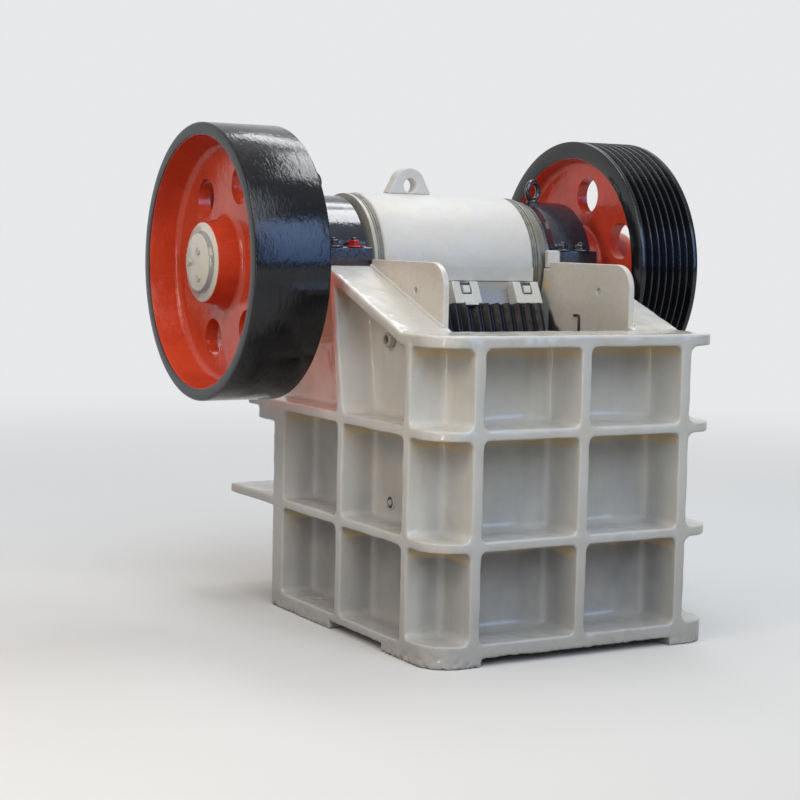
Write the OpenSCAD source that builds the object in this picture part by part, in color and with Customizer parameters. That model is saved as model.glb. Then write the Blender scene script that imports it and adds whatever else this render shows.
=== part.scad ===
/* [Frame] */
// Height of the front top flange above the floor
frame_h = 1014; // [980:1:1040]
// Depth of the outside ribs at the front, from their edges to the front wall
rib_depth_y = 169; // [140:1:190]
// Depth of the outside ribs on the sides, from their edges to the side walls
rib_depth_x = 131; // [110:1:150]
// Thickness of the standing ribs
rib_t = 38; // [24:1:46]
// Thickness of the side walls
side_wall_t = 59; // [40:1:70]
// Thickness of the flanges and ledges
ledge_t = 34; // [24:1:44]
// Thickness of the top flange
flange_t = 40; // [28:1:50]
// Radius of the ledges round the front corners
corner_r = 110; // [60:1:125]
// Height of the foot pads under the base flange
foot_h = 26; // [12:1:34]
// Top of the base flange along the sides
base_top = 57; // [52:1:70]
// Top of the base flange at the front
base_front_top = 72; // [60:1:90]
// Top of the lower ledge
lower_ledge_z = 388; // [370:1:400]
// Top of the upper ledge
upper_ledge_z = 728; // [700:1:740]
// Rear face of the front wall
front_wall_back = 250; // [240:1:254]
// Front face of the rear wall
rear_wall_y = 1032; // [1030:1:1060]
// Thickness of the rear wall
rear_wall_t = 82; // [60:1:90]
// Middle of the leaning side rib at its foot
mid_rib_y = 622; // [560:1:650]
// How far the leaning side rib moves back towards its top
mid_rib_lean = 76; // [0:1:90]
// Rear edge of the shelf behind the frame
shelf_end = 1472; // [1300:1:1480]
// Size of the foundation bolt holes
foundation_hole_d = 36; // [20:1:50]

/* [Jaws] */
// Width of both jaw plates
jaw_w = 600; // [540:1:680]
// Thickness of the jaw plates over their ridges
jaw_t = 68; // [50:1:74]
// Depth of the ridges on the jaw plates
ridge_depth = 20; // [8:1:28]
// Number of ridges on each jaw plate
ridge_count = 14; // [8:1:18]
// Lean of the swing jaw from upright, in degrees
jaw_lean = 19.5; // [18.5:0.1:19.9]
// Length of the swing jaw plate
swing_plate_l = 900; // [840:1:920]
// Thickness of the cheek plates
cheek_t = 38; // [24:1:44]
// Gap between a jaw plate and the cheek plates
cheek_gap = 12; // [6:1:20]

/* [Shaft and bearings] */
// Height of the shaft, which is the height of the bearing seats
shaft_z = 1205; // [1200:1:1215]
// Distance of the shaft behind the front edges of the frame
shaft_y = 1015; // [1005:1:1025]
// Radius of the main shaft
shaft_r = 80; // [60:1:85]
// Throw of the eccentric
throw = 12; // [6:1:14]
// Outer radius of the swing jaw's barrel
barrel_r = 250; // [240:1:255]
// Outer radius of the bearing housings
bearing_r = 235; // [220:1:240]
// Half length of the bolted ears of a bearing cap
ear_half = 268; // [262:1:275]
// Height of the bolted ears of a bearing cap
ear_h = 62; // [40:1:80]

/* [Wheels] */
// Outer radius of both wheels
wheel_r = 464; // [420:1:480]
// Radial thickness of the flywheel's rim
rim_t = 42; // [30:1:60]
// Width of the flywheel
flywheel_w = 267; // [220:1:280]
// Width of the belt pulley
pulley_w = 250; // [236:1:270]
// Gap between the frame's outer ribs and the wheels
wheel_gap = 75; // [65:1:90]
// Number of belt grooves
groove_count = 7; // [4:1:7]
// Distance from one belt groove to the next
groove_pitch = 31; // [24:1:32]
// Depth of the belt grooves
groove_depth = 24; // [12:1:28]
// Radial thickness of the belt pulley's rim
pulley_rim_t = 62; // [44:1:70]
// Radius of the round windows in the wheels' webs
window_r = 66; // [40:1:75]

/* [Hidden] */
$fn = 96;
eps = 1;
seat_gap = 0.3;
cut_l = 400;
wall_in = jaw_w / 2 + cheek_gap + cheek_t;
wall_out = wall_in + side_wall_t;
rib_x = wall_out - rib_t / 2;
frame_half_w = wall_out + rib_depth_x;
wheel_x = frame_half_w + wheel_gap;
slope_start = rib_depth_y + 66;
seat_start = shaft_y - ear_half - 12;
seat_end = shaft_y + ear_half + 12;
rear_face = rear_wall_y + rear_wall_t;
rod_end = 1500;
mid_y = rod_end / 2;

// Places the parts, which are drawn from the frame's front edge, round the middle of the machine
module placed() {
    translate([0, -mid_y, 0]) children();
}

// Extrudes a side view, drawn as (y, z), from x0 to x1
module side_profile(x0, x1) {
    translate([x0, 0, 0]) rotate([90, 0, 90]) linear_extrude(x1 - x0) children();
}

// A block between two corners
module block(x0, x1, y0, y1, z0, z1) {
    translate([x0, y0, z0]) cube([x1 - x0, y1 - y0, z1 - z0]);
}

// The same shape on the left and on the right
module both_sides() {
    children();
    mirror([1, 0, 0]) children();
}

module frame_paint() {
    color([0.87, 0.86, 0.80]) children();
}

module black_paint() {
    color([0.05, 0.05, 0.06]) children();
}

// Height of the top flange's upper face along the side
function flange_top(y) = y <= slope_start ? frame_h
    : y >= seat_start ? shaft_z
    : frame_h + (shaft_z - frame_h) * (y - slope_start) / (seat_start - slope_start);

// The ledge round the front: a bar with round front corners
module front_ledge(z0, z1) {
    translate([0, 0, z0]) linear_extrude(z1 - z0) ledge_plan(frame_half_w, rib_depth_y);
}

module ledge_plan(half_w, depth) {
    intersection() {
        translate([-half_w, 0]) square([2 * half_w, depth]);
        union() {
            translate([-half_w + corner_r, 0]) square([2 * (half_w - corner_r), depth]);
            translate([-half_w, corner_r]) square([2 * half_w, depth]);
            for (side = [-1, 1]) translate([side * (half_w - corner_r), corner_r]) circle(corner_r);
        }
    }
}

ledge_rows = [
    [base_front_top, lower_ledge_z - ledge_t],
    [lower_ledge_z, upper_ledge_z - ledge_t],
    [upper_ledge_z, frame_h - flange_t]
];
side_rows = [
    [base_top, lower_ledge_z - ledge_t],
    [lower_ledge_z, upper_ledge_z - ledge_t]
];

module front_wall() {
    frame_paint() placed() block(-wall_out, wall_out, rib_depth_y, front_wall_back, foot_h, frame_h - flange_t);
}

module side_wall() {
    side_profile(wall_in, wall_out) difference() {
        polygon([
            [front_wall_back, foot_h], [rear_wall_y, foot_h], [rear_wall_y, upper_ledge_z],
            [seat_end, upper_ledge_z], [seat_end, shaft_z - flange_t], [seat_start, shaft_z - flange_t],
            [slope_start, frame_h - flange_t], [front_wall_back, frame_h - flange_t]
        ]);
        translate([shaft_y, shaft_z]) circle(bearing_r + 40);
    }
}

module side_wall_left() {
    frame_paint() placed() mirror([1, 0, 0]) side_wall();
}

module side_wall_right() {
    frame_paint() placed() side_wall();
}

rod_slope = 8;
rod_eye = [640, 165];
rod_r = 16;
rod_boss_r = 62;
rod_hole_r = 24;
bearing_gap = 0.05;
rod_boss_end = (rear_face - rod_eye[0]) / cos(rod_slope) + 22;

// Turns +z into the tension rod's direction, from its eye towards the rear
module along_rod() {
    translate([0, rod_eye[0], rod_eye[1]]) rotate([rod_slope - 90, 0, 0]) children();
}

rear_wall_rise = 60;
rocker_r = 30;
rocker_at = rod_boss_end + 10;

// The round bar that the tension rod's spring rocks on
module rocker(r, half_w) {
    side_profile(-half_w, half_w) translate(rod_eye + rocker_at * [cos(rod_slope), sin(rod_slope)]) circle(r);
}

module rear_wall() {
    frame_paint() placed() difference() {
        union() {
            block(-wall_out, wall_out, rear_wall_y, rear_face, foot_h, upper_ledge_z);
            block(-wall_in, wall_in, rear_wall_y, rear_face, upper_ledge_z, upper_ledge_z + rear_wall_rise);
            along_rod() translate([0, 0, rod_boss_end - 60]) cylinder(h = 60, r = rod_boss_r);
        }
        along_rod() translate([0, 0, 300]) cylinder(h = cut_l, r = rod_hole_r);
        rocker(rocker_r + bearing_gap, 2 * rod_boss_r);
    }
}

module front_ribs() {
    frame_paint() placed() for (row = ledge_rows, x = [-rib_x, 0, rib_x])
        block(x - rib_t / 2, x + rib_t / 2, 0, rib_depth_y, row[0], row[1]);
}

module corner_ribs() {
    frame_paint() placed() both_sides() {
        block(wall_out, frame_half_w, rib_depth_y, rib_depth_y + rib_t, foot_h, frame_h - flange_t);
        block(wall_out, frame_half_w, rear_wall_y, rear_face, foot_h, upper_ledge_z);
    }
}

module side_ribs() {
    frame_paint() placed() both_sides() {
        for (row = side_rows)
            block(wall_out, frame_half_w, mid_rib_y - rib_t / 2, mid_rib_y + rib_t / 2, row[0], row[1]);
        top = mid_rib_y + mid_rib_lean;
        side_profile(wall_out, frame_half_w) polygon([
            [mid_rib_y - rib_t / 2, upper_ledge_z], [mid_rib_y + rib_t / 2, upper_ledge_z],
            [top + rib_t / 2, flange_top(top + rib_t / 2) - flange_t - seat_gap],
            [top - rib_t / 2, flange_top(top - rib_t / 2) - flange_t - seat_gap]
        ]);
    }
}

front_foot_x = wall_out - 48;
front_foot_end = 320;
rear_foot_start = 671;
hole_x = (wall_out + frame_half_w) / 2;
front_hole_y = 265;
rear_hole_y = 890;

module base_flange_front() {
    frame_paint() placed() {
        front_ledge(foot_h, base_front_top);
        intersection() {
            front_ledge(0, foot_h);
            both_sides() block(front_foot_x, frame_half_w, 0, rib_depth_y, 0, foot_h);
        }
    }
}

module base_flange_sides() {
    frame_paint() placed() both_sides() difference() {
        union() {
            block(wall_out, frame_half_w, rib_depth_y + rib_t, rear_wall_y, foot_h, base_top);
            block(front_foot_x, frame_half_w, rib_depth_y, front_foot_end, 0, foot_h);
            block(front_foot_x, frame_half_w, rear_foot_start, rear_face, 0, foot_h);
        }
        for (y = [front_hole_y, rear_hole_y])
            translate([hole_x, y, -eps]) cylinder(h = base_top + 2 * eps, d = foundation_hole_d);
    }
}

module lower_ledge_front() {
    frame_paint() placed() front_ledge(lower_ledge_z - ledge_t, lower_ledge_z);
}

module side_ledge(z1) {
    block(wall_out, frame_half_w, rib_depth_y + rib_t, rear_wall_y, z1 - ledge_t, z1);
}

module lower_ledge_sides() {
    frame_paint() placed() both_sides() side_ledge(lower_ledge_z);
}

module rear_shelf() {
    frame_paint() placed()
        block(-frame_half_w, frame_half_w, rear_face, shelf_end, lower_ledge_z - ledge_t, lower_ledge_z);
}

rear_ledge_end = 1330;
rear_beam_end = 1241;
rear_beam_z = 650;

module rear_beam() {
    frame_paint() placed() {
        block(-frame_half_w, frame_half_w, rear_face, rear_ledge_end, upper_ledge_z - ledge_t, upper_ledge_z);
        block(-frame_half_w, frame_half_w, rear_face, rear_beam_end, rear_beam_z, upper_ledge_z - ledge_t);
    }
}

module upper_ledge_front() {
    frame_paint() placed() front_ledge(upper_ledge_z - ledge_t, upper_ledge_z);
}

module upper_ledge_sides() {
    frame_paint() placed() both_sides() side_ledge(upper_ledge_z);
}

module top_flange_front() {
    frame_paint() placed() translate([0, 0, frame_h - flange_t]) linear_extrude(flange_t)
        ledge_plan(frame_half_w, front_wall_back - 15);
}

module top_flange_side() {
    side_profile(wall_in, frame_half_w) difference() {
        polygon([
            [front_wall_back - 15, frame_h - flange_t], [slope_start, frame_h - flange_t],
            [seat_start, shaft_z - flange_t], [seat_end, shaft_z - flange_t], [seat_end, shaft_z],
            [seat_start, shaft_z], [slope_start, frame_h], [front_wall_back - 15, frame_h]
        ]);
        translate([shaft_y, shaft_z]) circle(bearing_r + 0.3);
    }
}

module top_flange_left() {
    frame_paint() placed() mirror([1, 0, 0]) top_flange_side();
}

module top_flange_right() {
    frame_paint() placed() top_flange_side();
}

module bearing_saddles() {
    frame_paint() placed() both_sides() side_profile(wall_in, frame_half_w) difference() {
        translate([shaft_y, shaft_z]) circle(bearing_r + 40);
        translate([shaft_y, shaft_z]) circle(bearing_r + 0.3);
        translate([shaft_y - cut_l, shaft_z - flange_t]) square([2 * cut_l, cut_l]);
    }
}

feed_side_t = 20;
feed_side_front = 264;
feed_side_top = shaft_z + 22;
feed_side_r = 80;
feed_hole_y = feed_side_front + 176;
feed_hole_up = 41.7;

module feed_side() {
    side_profile(wall_in, wall_in + feed_side_t) difference() {
        union() {
            polygon([
                [feed_side_front, frame_h], [seat_start, frame_h], [seat_start, feed_side_top],
                [feed_side_front + feed_side_r, feed_side_top],
                [feed_side_front + feed_side_r, feed_side_top - feed_side_r],
                [feed_side_front, feed_side_top - feed_side_r]
            ]);
            translate([feed_side_front + feed_side_r, feed_side_top - feed_side_r]) circle(feed_side_r);
        }
        polygon([
            [0, 0], [seat_start + eps, 0], [seat_start + eps, shaft_z], [seat_start, shaft_z],
            [slope_start, frame_h], [0, frame_h]
        ]);
        translate([feed_hole_y, flange_top(feed_hole_y) + feed_hole_up]) circle(11);
    }
}

module feed_side_left() {
    frame_paint() placed() mirror([1, 0, 0]) feed_side();
}

module feed_side_right() {
    frame_paint() placed() feed_side();
}

fixed_plate_bottom = 150;
fixed_plate_top = frame_h - 12;
ridge_pitch = jaw_w / ridge_count;

// Plan of a ridged plate, flat at y = 0 and with its ridges towards +y
module ridged_plan() {
    base = jaw_t - ridge_depth;
    land = ridge_pitch * 0.16;
    polygon(concat(
        [[jaw_w / 2, 0], [-jaw_w / 2, 0]],
        [for (i = [0:ridge_count - 1], k = [0:3])
            [-jaw_w / 2 + i * ridge_pitch + [0, ridge_pitch / 2 - land, ridge_pitch / 2 + land, ridge_pitch][k],
                base + [0, ridge_depth, ridge_depth, 0][k]]]
    ));
}

module fixed_jaw_plate() {
    black_paint() placed() translate([0, front_wall_back, fixed_plate_bottom])
        linear_extrude(fixed_plate_top - fixed_plate_bottom) ridged_plan();
}

swing_top = [shaft_y - 325, shaft_z - 120];
function face_out(d) = [-cos(jaw_lean) * d, sin(jaw_lean) * d];
function face_down(d) = [-sin(jaw_lean) * d, -cos(jaw_lean) * d];
plate_back_top = swing_top - face_out(jaw_t);
plate_back_bottom = plate_back_top + face_down(swing_plate_l);

cheek_top = frame_h - 74;
cheek_bottom = fixed_plate_bottom + 60;

module cheek_plates() {
    back_top = plate_back_top + (plate_back_top[1] - cheek_top) / cos(jaw_lean) * face_down(1);
    black_paint() placed() both_sides() side_profile(wall_in - cheek_t, wall_in) polygon([
        [front_wall_back + jaw_t + cheek_gap, cheek_bottom],
        [plate_back_bottom[0] - cheek_gap, cheek_bottom],
        [back_top[0] - cheek_gap, cheek_top],
        [front_wall_back + jaw_t + cheek_gap, cheek_top]
    ]);
}

housing_left = wall_in + 10;
housing_right = wall_in + 53;
housing_end = wheel_x - 40;
eye_bolt_x = housing_end - 120;

// The cream block beside the right bearing's inner end
module seat_block() {
    frame_paint() placed() block(wall_in, housing_right - 1, shaft_y - ear_half, shaft_y - bearing_r - 10,
        shaft_z, shaft_z + ear_h);
}

module bearing_base(inner_end) {
    side_profile(inner_end, housing_end) difference() {
        translate([shaft_y, shaft_z]) circle(bearing_r);
        translate([shaft_y, shaft_z]) circle(shaft_r + bearing_gap);
        translate([shaft_y - cut_l, shaft_z]) square([2 * cut_l, cut_l]);
    }
}

module bearing_base_left() {
    black_paint() placed() mirror([1, 0, 0]) bearing_base(housing_left);
}

module bearing_base_right() {
    black_paint() placed() bearing_base(housing_right);
}

module bearing_cap(inner_end) {
    side_profile(inner_end, housing_end) difference() {
        union() {
            translate([shaft_y, shaft_z]) circle(bearing_r);
            translate([shaft_y - ear_half, shaft_z]) square([2 * ear_half, ear_h]);
        }
        translate([shaft_y, shaft_z]) circle(shaft_r + bearing_gap);
        translate([shaft_y - cut_l, shaft_z - cut_l]) square([2 * cut_l, cut_l]);
    }
}

module bearing_cap_left() {
    black_paint() placed() mirror([1, 0, 0]) bearing_cap(housing_left);
}

module bearing_cap_right() {
    black_paint() placed() bearing_cap(housing_right);
}

module eye_bolts() {
    black_paint() placed() both_sides() translate([eye_bolt_x, shaft_y, shaft_z + bearing_r]) {
        cylinder(h = 22, r = 16);
        translate([0, 0, 50]) rotate([90, 0, 0]) rotate_extrude() translate([26, 0]) circle(8);
    }
}

toggle_rear = [rear_wall_y - 47, 345];
toggle_front = [705, 262];
toggle_r = 30;
toggle_half_w = jaw_w / 2 - 60;
adjusting_block_h = 180;

module adjusting_block() {
    color([0.30, 0.30, 0.32]) placed() side_profile(-toggle_half_w - 20, toggle_half_w + 20) difference() {
        translate([toggle_rear[0], toggle_rear[1] - adjusting_block_h / 2])
            square([rear_wall_y - toggle_rear[0], adjusting_block_h]);
        translate(toggle_rear) circle(toggle_r + 0.3);
    }
}

barrel_half_w = wall_in - 12;

// Where the swing jaw plate's back lies on the pitman
plate_bed = plate_back_top - face_out(seat_gap);

module pitman() {
    frame_paint() placed() difference() {
        union() {
            side_profile(-jaw_w / 2, jaw_w / 2) {
                translate([shaft_y, shaft_z]) circle(barrel_r);
                polygon([
                    [shaft_y - barrel_r, shaft_z], [shaft_y - barrel_r, shaft_z - 47],
                    plate_bed + face_down(-88), plate_bed + face_down(swing_plate_l),
                    plate_back_bottom + [-8, -30], rod_eye + [-120, -40], rod_eye + [25, -40],
                    rod_eye + [50, 35], toggle_front + [0, -44], toggle_front + [0, 44],
                    toggle_front + [35, 118], toggle_front + [155, 378], [shaft_y + 45, shaft_z - 245]
                ]);
            }
            side_profile(-barrel_half_w, barrel_half_w) translate([shaft_y, shaft_z]) circle(barrel_r - 4);
        }
        side_profile(-jaw_w, jaw_w) {
            translate([shaft_y, shaft_z]) circle(shaft_r + eccentric_step + 2 * throw + 6);
            translate(rod_eye) circle(rod_pin_r);
            translate(toggle_front) circle(toggle_r + 0.3);
        }
        block(-26, 26, rod_eye[0] - 60, 760, 100, rod_eye[1] + 52);
    }
}

rod_pin_r = 14;
eccentric_step = 8;

module rod_pin() {
    color([0.45, 0.45, 0.45]) placed() side_profile(-70, 70) translate(rod_eye) circle(rod_pin_r);
}

lug_x = -80;
lug_t = 46;
lug_rise = 29;
lug_r = 62;
lug_hole_r = 25;

module lifting_lug() {
    frame_paint() placed() difference() {
        translate([lug_x, shaft_y + lug_t / 2, shaft_z + barrel_r + lug_rise])
            rotate([90, 0, 0]) linear_extrude(lug_t) difference() {
                union() {
                    circle(lug_r);
                    polygon([[-90, -lug_rise - 8], [90, -lug_rise - 8], [58, 22], [-58, 22]]);
                }
                circle(lug_hole_r);
            }
        side_profile(-jaw_w, jaw_w) translate([shaft_y, shaft_z]) circle(barrel_r + seat_gap);
    }
}

wedge_half_w = 53;
wedge_end = jaw_w / 2 + 3 - wedge_half_w;
wedge_x = [-wedge_end, 0, wedge_end];

// Blocks that hold the swing jaw plate down, each with a slot for the head of its bolt
module jaw_wedges() {
    frame_paint() placed() for (x = wedge_x) difference() {
        side_profile(x - wedge_half_w, x + wedge_half_w) difference() {
            translate(plate_back_top + face_down(-seat_gap)) polygon([
                [0, 0], face_out(56), face_out(44) + face_down(-84), face_down(-84)
            ]);
            translate([shaft_y, shaft_z]) circle(barrel_r + seat_gap);
        }
        side_profile(x - 21, x + 21) translate(plate_back_top) polygon([
            face_out(30) + face_down(-36), face_out(70) + face_down(-36),
            face_out(70) + face_down(-100), face_out(30) + face_down(-100)
        ]);
    }
}

module swing_jaw_plate() {
    black_paint() placed() translate([0, plate_back_top[0], plate_back_top[1]]) rotate([-jaw_lean, 0, 0])
        translate([0, 0, -swing_plate_l]) linear_extrude(swing_plate_l) mirror([0, 1, 0]) ridged_plan();
}

module toggle_plate() {
    run = toggle_rear - toggle_front;
    color([0.42, 0.36, 0.30]) placed() side_profile(-toggle_half_w, toggle_half_w) {
        translate(toggle_front) circle(toggle_r);
        translate(toggle_rear) circle(toggle_r);
        translate(toggle_front) rotate(atan2(run[1], run[0]))
            translate([0, -toggle_r * 0.8]) square([norm(run), toggle_r * 1.6]);
    }
}

spring_l = 220;
spring_start = rocker_at + rocker_r + 6;
rod_l = (rod_end - rod_eye[0] - rod_r * sin(rod_slope)) / cos(rod_slope);

module tension_rod() {
    color([0.45, 0.45, 0.45]) placed() {
        difference() {
            union() {
                along_rod() cylinder(h = rod_l, r = rod_r);
                side_profile(-20, 20) translate(rod_eye) circle(36);
            }
            side_profile(-30, 30) translate(rod_eye) circle(rod_pin_r + 4);
        }
        rocker(rocker_r, 45);
        along_rod() translate([0, 0, spring_start - 14]) cylinder(h = 14, r = 44);
        along_rod() translate([0, 0, spring_start + spring_l]) cylinder(h = 14, r = 44);
        along_rod() translate([0, 0, spring_start + spring_l + 14]) cylinder(h = 30, r = 27, $fn = 6);
    }
}

module tension_spring() {
    color([0.35, 0.33, 0.30]) placed() along_rod() translate([0, 0, spring_start]) difference() {
        cylinder(h = spring_l, r = 40);
        translate([0, 0, -eps]) cylinder(h = spring_l + 2 * eps, r = 26);
    }
}

flywheel_x1 = wheel_x + flywheel_w;
pulley_x1 = wheel_x + pulley_w;
shaft_end = min(flywheel_x1, pulley_x1) - 24;
hub_r = 134;
hub_recess = 12;
cap_r = 99;
cap_end = flywheel_x1 + 4;
eccentric_half_w = jaw_w / 2 - 80;
web_t = 45;
flywheel_recess = 108;

module on_shaft(x0) {
    placed() translate([x0, shaft_y, shaft_z]) rotate([0, 90, 0]) children();
}

module eccentric_shaft() {
    color([0.60, 0.60, 0.60]) {
        on_shaft(-shaft_end) cylinder(h = 2 * shaft_end, r = shaft_r);
        on_shaft(-eccentric_half_w) translate([0, throw, 0])
            cylinder(h = 2 * eccentric_half_w, r = shaft_r + eccentric_step);
    }
}

module ring(x0, w, r_out, r_in) {
    on_shaft(x0) difference() {
        cylinder(h = w, r = r_out);
        translate([0, 0, -eps]) cylinder(h = w + 2 * eps, r = r_in);
    }
}

// The disc between rim and hub, with its ring of round windows
module web(x0, r_out, turn) {
    on_shaft(x0) difference() {
        cylinder(h = web_t, r = r_out);
        translate([0, 0, -eps]) cylinder(h = web_t + 2 * eps, r = hub_r);
        for (i = [0:5]) rotate([0, 0, 60 * i + turn]) translate([(r_out + hub_r) / 2, 0, -eps])
            cylinder(h = web_t + 2 * eps, r = window_r);
    }
}

module hub(x0, x1) {
    on_shaft(x0) difference() {
        cylinder(h = x1 - x0, r = hub_r);
        translate([0, 0, -eps]) cylinder(h = x1 - x0 + 2 * eps, r = shaft_r);
    }
}

module flywheel_rim() {
    black_paint() ring(-flywheel_x1, flywheel_w, wheel_r, wheel_r - rim_t);
}

module flywheel_web() {
    color([0.80, 0.20, 0.10]) web(-flywheel_x1 + flywheel_recess, wheel_r - rim_t, 21);
}

module flywheel_hub() {
    frame_paint() {
        hub(-flywheel_x1 + hub_recess, -wheel_x - 20);
        on_shaft(-cap_end) cylinder(h = cap_end - flywheel_x1 + hub_recess, r = cap_r);
    }
}

// Outline of the grooved rim, drawn as (radius, distance along the shaft)
module pulley_section() {
    bottom = wheel_r - groove_depth;
    first = (pulley_w - (groove_count - 1) * groove_pitch) / 2;
    polygon(concat(
        [[wheel_r - pulley_rim_t, pulley_w], [wheel_r - pulley_rim_t, 0], [wheel_r, 0]],
        [for (i = [0:groove_count - 1], k = [0:3])
            [[wheel_r, bottom, bottom, wheel_r][k], first + i * groove_pitch + [-13, -6, 6, 13][k]]],
        [[wheel_r, pulley_w]]
    ));
}

module pulley_rim() {
    black_paint() on_shaft(wheel_x) rotate_extrude() pulley_section();
}

module pulley_web() {
    color([0.45, 0.08, 0.07]) web(wheel_x + 60, wheel_r - pulley_rim_t, 8);
}

module pulley_hub() {
    frame_paint() {
        hub(wheel_x + 20, pulley_x1 - hub_recess);
        on_shaft(pulley_x1 - hub_recess) cylinder(h = cap_end - pulley_x1 + hub_recess, r = cap_r);
    }
}

front_wall();
side_wall_left();
side_wall_right();
rear_wall();
front_ribs();
corner_ribs();
side_ribs();
base_flange_front();
base_flange_sides();
lower_ledge_front();
lower_ledge_sides();
rear_shelf();
rear_beam();
upper_ledge_front();
upper_ledge_sides();
top_flange_front();
top_flange_left();
top_flange_right();
feed_side_left();
feed_side_right();
bearing_saddles();
seat_block();
fixed_jaw_plate();
cheek_plates();
bearing_base_left();
bearing_base_right();
bearing_cap_left();
bearing_cap_right();
eye_bolts();
adjusting_block();
pitman();
lifting_lug();
jaw_wedges();
swing_jaw_plate();
rod_pin();
toggle_plate();
tension_rod();
tension_spring();
eccentric_shaft();
flywheel_rim();
flywheel_web();
flywheel_hub();
pulley_rim();
pulley_web();
pulley_hub();
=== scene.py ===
"""Looks of the jaw crusher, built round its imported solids."""

import math

import bmesh
import bpy
from mathutils import Matrix, Vector, noise


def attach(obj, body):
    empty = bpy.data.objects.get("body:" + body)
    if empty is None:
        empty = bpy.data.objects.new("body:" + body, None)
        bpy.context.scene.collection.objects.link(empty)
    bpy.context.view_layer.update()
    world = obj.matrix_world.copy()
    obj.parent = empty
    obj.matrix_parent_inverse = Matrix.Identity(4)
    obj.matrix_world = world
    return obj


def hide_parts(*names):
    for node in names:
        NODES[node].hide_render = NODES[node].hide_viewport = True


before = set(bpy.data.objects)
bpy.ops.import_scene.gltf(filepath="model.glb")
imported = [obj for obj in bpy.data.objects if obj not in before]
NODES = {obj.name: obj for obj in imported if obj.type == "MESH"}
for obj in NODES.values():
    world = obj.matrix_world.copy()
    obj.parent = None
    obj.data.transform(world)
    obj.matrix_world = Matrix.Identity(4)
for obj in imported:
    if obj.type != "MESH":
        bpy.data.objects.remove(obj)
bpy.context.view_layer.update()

# Lengths below are in metres. The solids are drawn with their middle at MID_Y behind the front edge.
MID_Y = 0.750
SHAFT_Y = 1.015 - MID_Y
SHAFT_Z = 1.205
HALF_W = 0.540
WALL_IN = 0.350
WALL_OUT = 0.409
RIB_HALF = 0.019
FRONT_FACE = -MID_Y
FRONT_WALL = 0.169 - MID_Y
CORNER_RIB_BACK = 0.207 - MID_Y
REAR_WALL = 1.032 - MID_Y
REAR_FACE = 1.114 - MID_Y
MID_RIB = 0.622 - MID_Y
RIB_LEAN = 0.076
SLOPE_START = 0.235 - MID_Y
SEAT_START = 0.735 - MID_Y
SEAT_END = 1.295 - MID_Y
LEDGE_T = 0.034
FLANGE_T = 0.040
LOWER_LEDGE = 0.388
UPPER_LEDGE = 0.728
FRAME_H = 1.014
FLANGE_RISE = (SHAFT_Z - FRAME_H) / (SEAT_START - SLOPE_START)
WHEEL_R = 0.464
FLYWHEEL_OUT = 0.882
WHEEL_IN = 0.615
PULLEY_OUT = 0.865
BEAM_REAR = 1.241 - MID_Y
BEAM_FOOT = 0.650
SHELF_FOOT = 0.694
COLUMN_IN = 0.371
SHAFT_R = 0.080
HOUSING_BORE = 0.0803
EAR_HALF = 0.268
EAR_H = 0.062
HOUSING_R = 0.235
HOUSING_END = 0.575


# Mesh tools

class Solids:
    """A growing set of closed shapes, each as vertices and faces."""

    def __init__(self, *shapes):
        self.verts = []
        self.faces = []
        for shape in shapes:
            self.add(*shape)

    def add(self, verts, faces):
        start = len(self.verts)
        self.verts += [tuple(v) for v in verts]
        self.faces += [[i + start for i in face] for face in faces]


def link(obj):
    bpy.context.scene.collection.objects.link(obj)
    return obj


def make_object(name, verts, faces, smooth=True):
    mesh = bpy.data.meshes.new(name)
    mesh.from_pydata([tuple(v) for v in verts], [], faces)
    bm = bmesh.new()
    bm.from_mesh(mesh)
    bmesh.ops.remove_doubles(bm, verts=bm.verts, dist=1e-6)
    bmesh.ops.recalc_face_normals(bm, faces=bm.faces)
    bm.to_mesh(mesh)
    bm.free()
    for polygon in mesh.polygons:
        polygon.use_smooth = smooth
    return link(bpy.data.objects.new(name, mesh))


def bake_modifiers(obj):
    graph = bpy.context.evaluated_depsgraph_get()
    mesh = bpy.data.meshes.new_from_object(obj.evaluated_get(graph))
    old = obj.data
    obj.modifiers.clear()
    obj.data = mesh
    mesh.name = obj.name
    bpy.data.meshes.remove(old)
    return obj


def bevel(obj, width, segments=3, angle=32):
    modifier = obj.modifiers.new("bevel", "BEVEL")
    modifier.width = width
    modifier.segments = segments
    modifier.limit_method = "ANGLE"
    modifier.angle_limit = math.radians(angle)
    modifier.harden_normals = False
    for polygon in obj.data.polygons:
        polygon.use_smooth = True
    weighted = obj.modifiers.new("normals", "WEIGHTED_NORMAL")
    weighted.keep_sharp = False
    weighted.weight = 100
    return bake_modifiers(obj)


def cut(obj, cutters):
    """Takes the cutter meshes away from obj."""
    bm = bmesh.new()
    for cutter in cutters:
        bm.from_mesh(cutter.data)
        bpy.data.objects.remove(cutter)
    mesh = bpy.data.meshes.new("cutter")
    bm.to_mesh(mesh)
    bm.free()
    tool = link(bpy.data.objects.new("cutter", mesh))
    modifier = obj.modifiers.new("cut", "BOOLEAN")
    modifier.operation = "DIFFERENCE"
    modifier.solver = "EXACT"
    modifier.object = tool
    bake_modifiers(obj)
    bpy.data.objects.remove(tool)
    return obj


def drawn_out(start, end):
    """Verts and faces of the closed shape between two like polygons."""
    count = len(start)
    faces = [list(range(count)), list(range(count, 2 * count))[::-1]]
    faces += [[i, (i + 1) % count, (i + 1) % count + count, i + count] for i in range(count)]
    return start + end, faces


AXES = {"x": (1, 2, 0), "y": (0, 2, 1), "z": (0, 1, 2)}


def prism(points, axis, low, high):
    """Verts and faces of a polygon, given in the two other axes, drawn out along an axis."""
    first, second, along = AXES[axis]
    ends = []
    for level in (low, high):
        ends.append([])
        for a, b in points:
            v = [0.0, 0.0, 0.0]
            v[first], v[second], v[along] = a, b, level
            ends[-1].append(v)
    return drawn_out(*ends)


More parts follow.
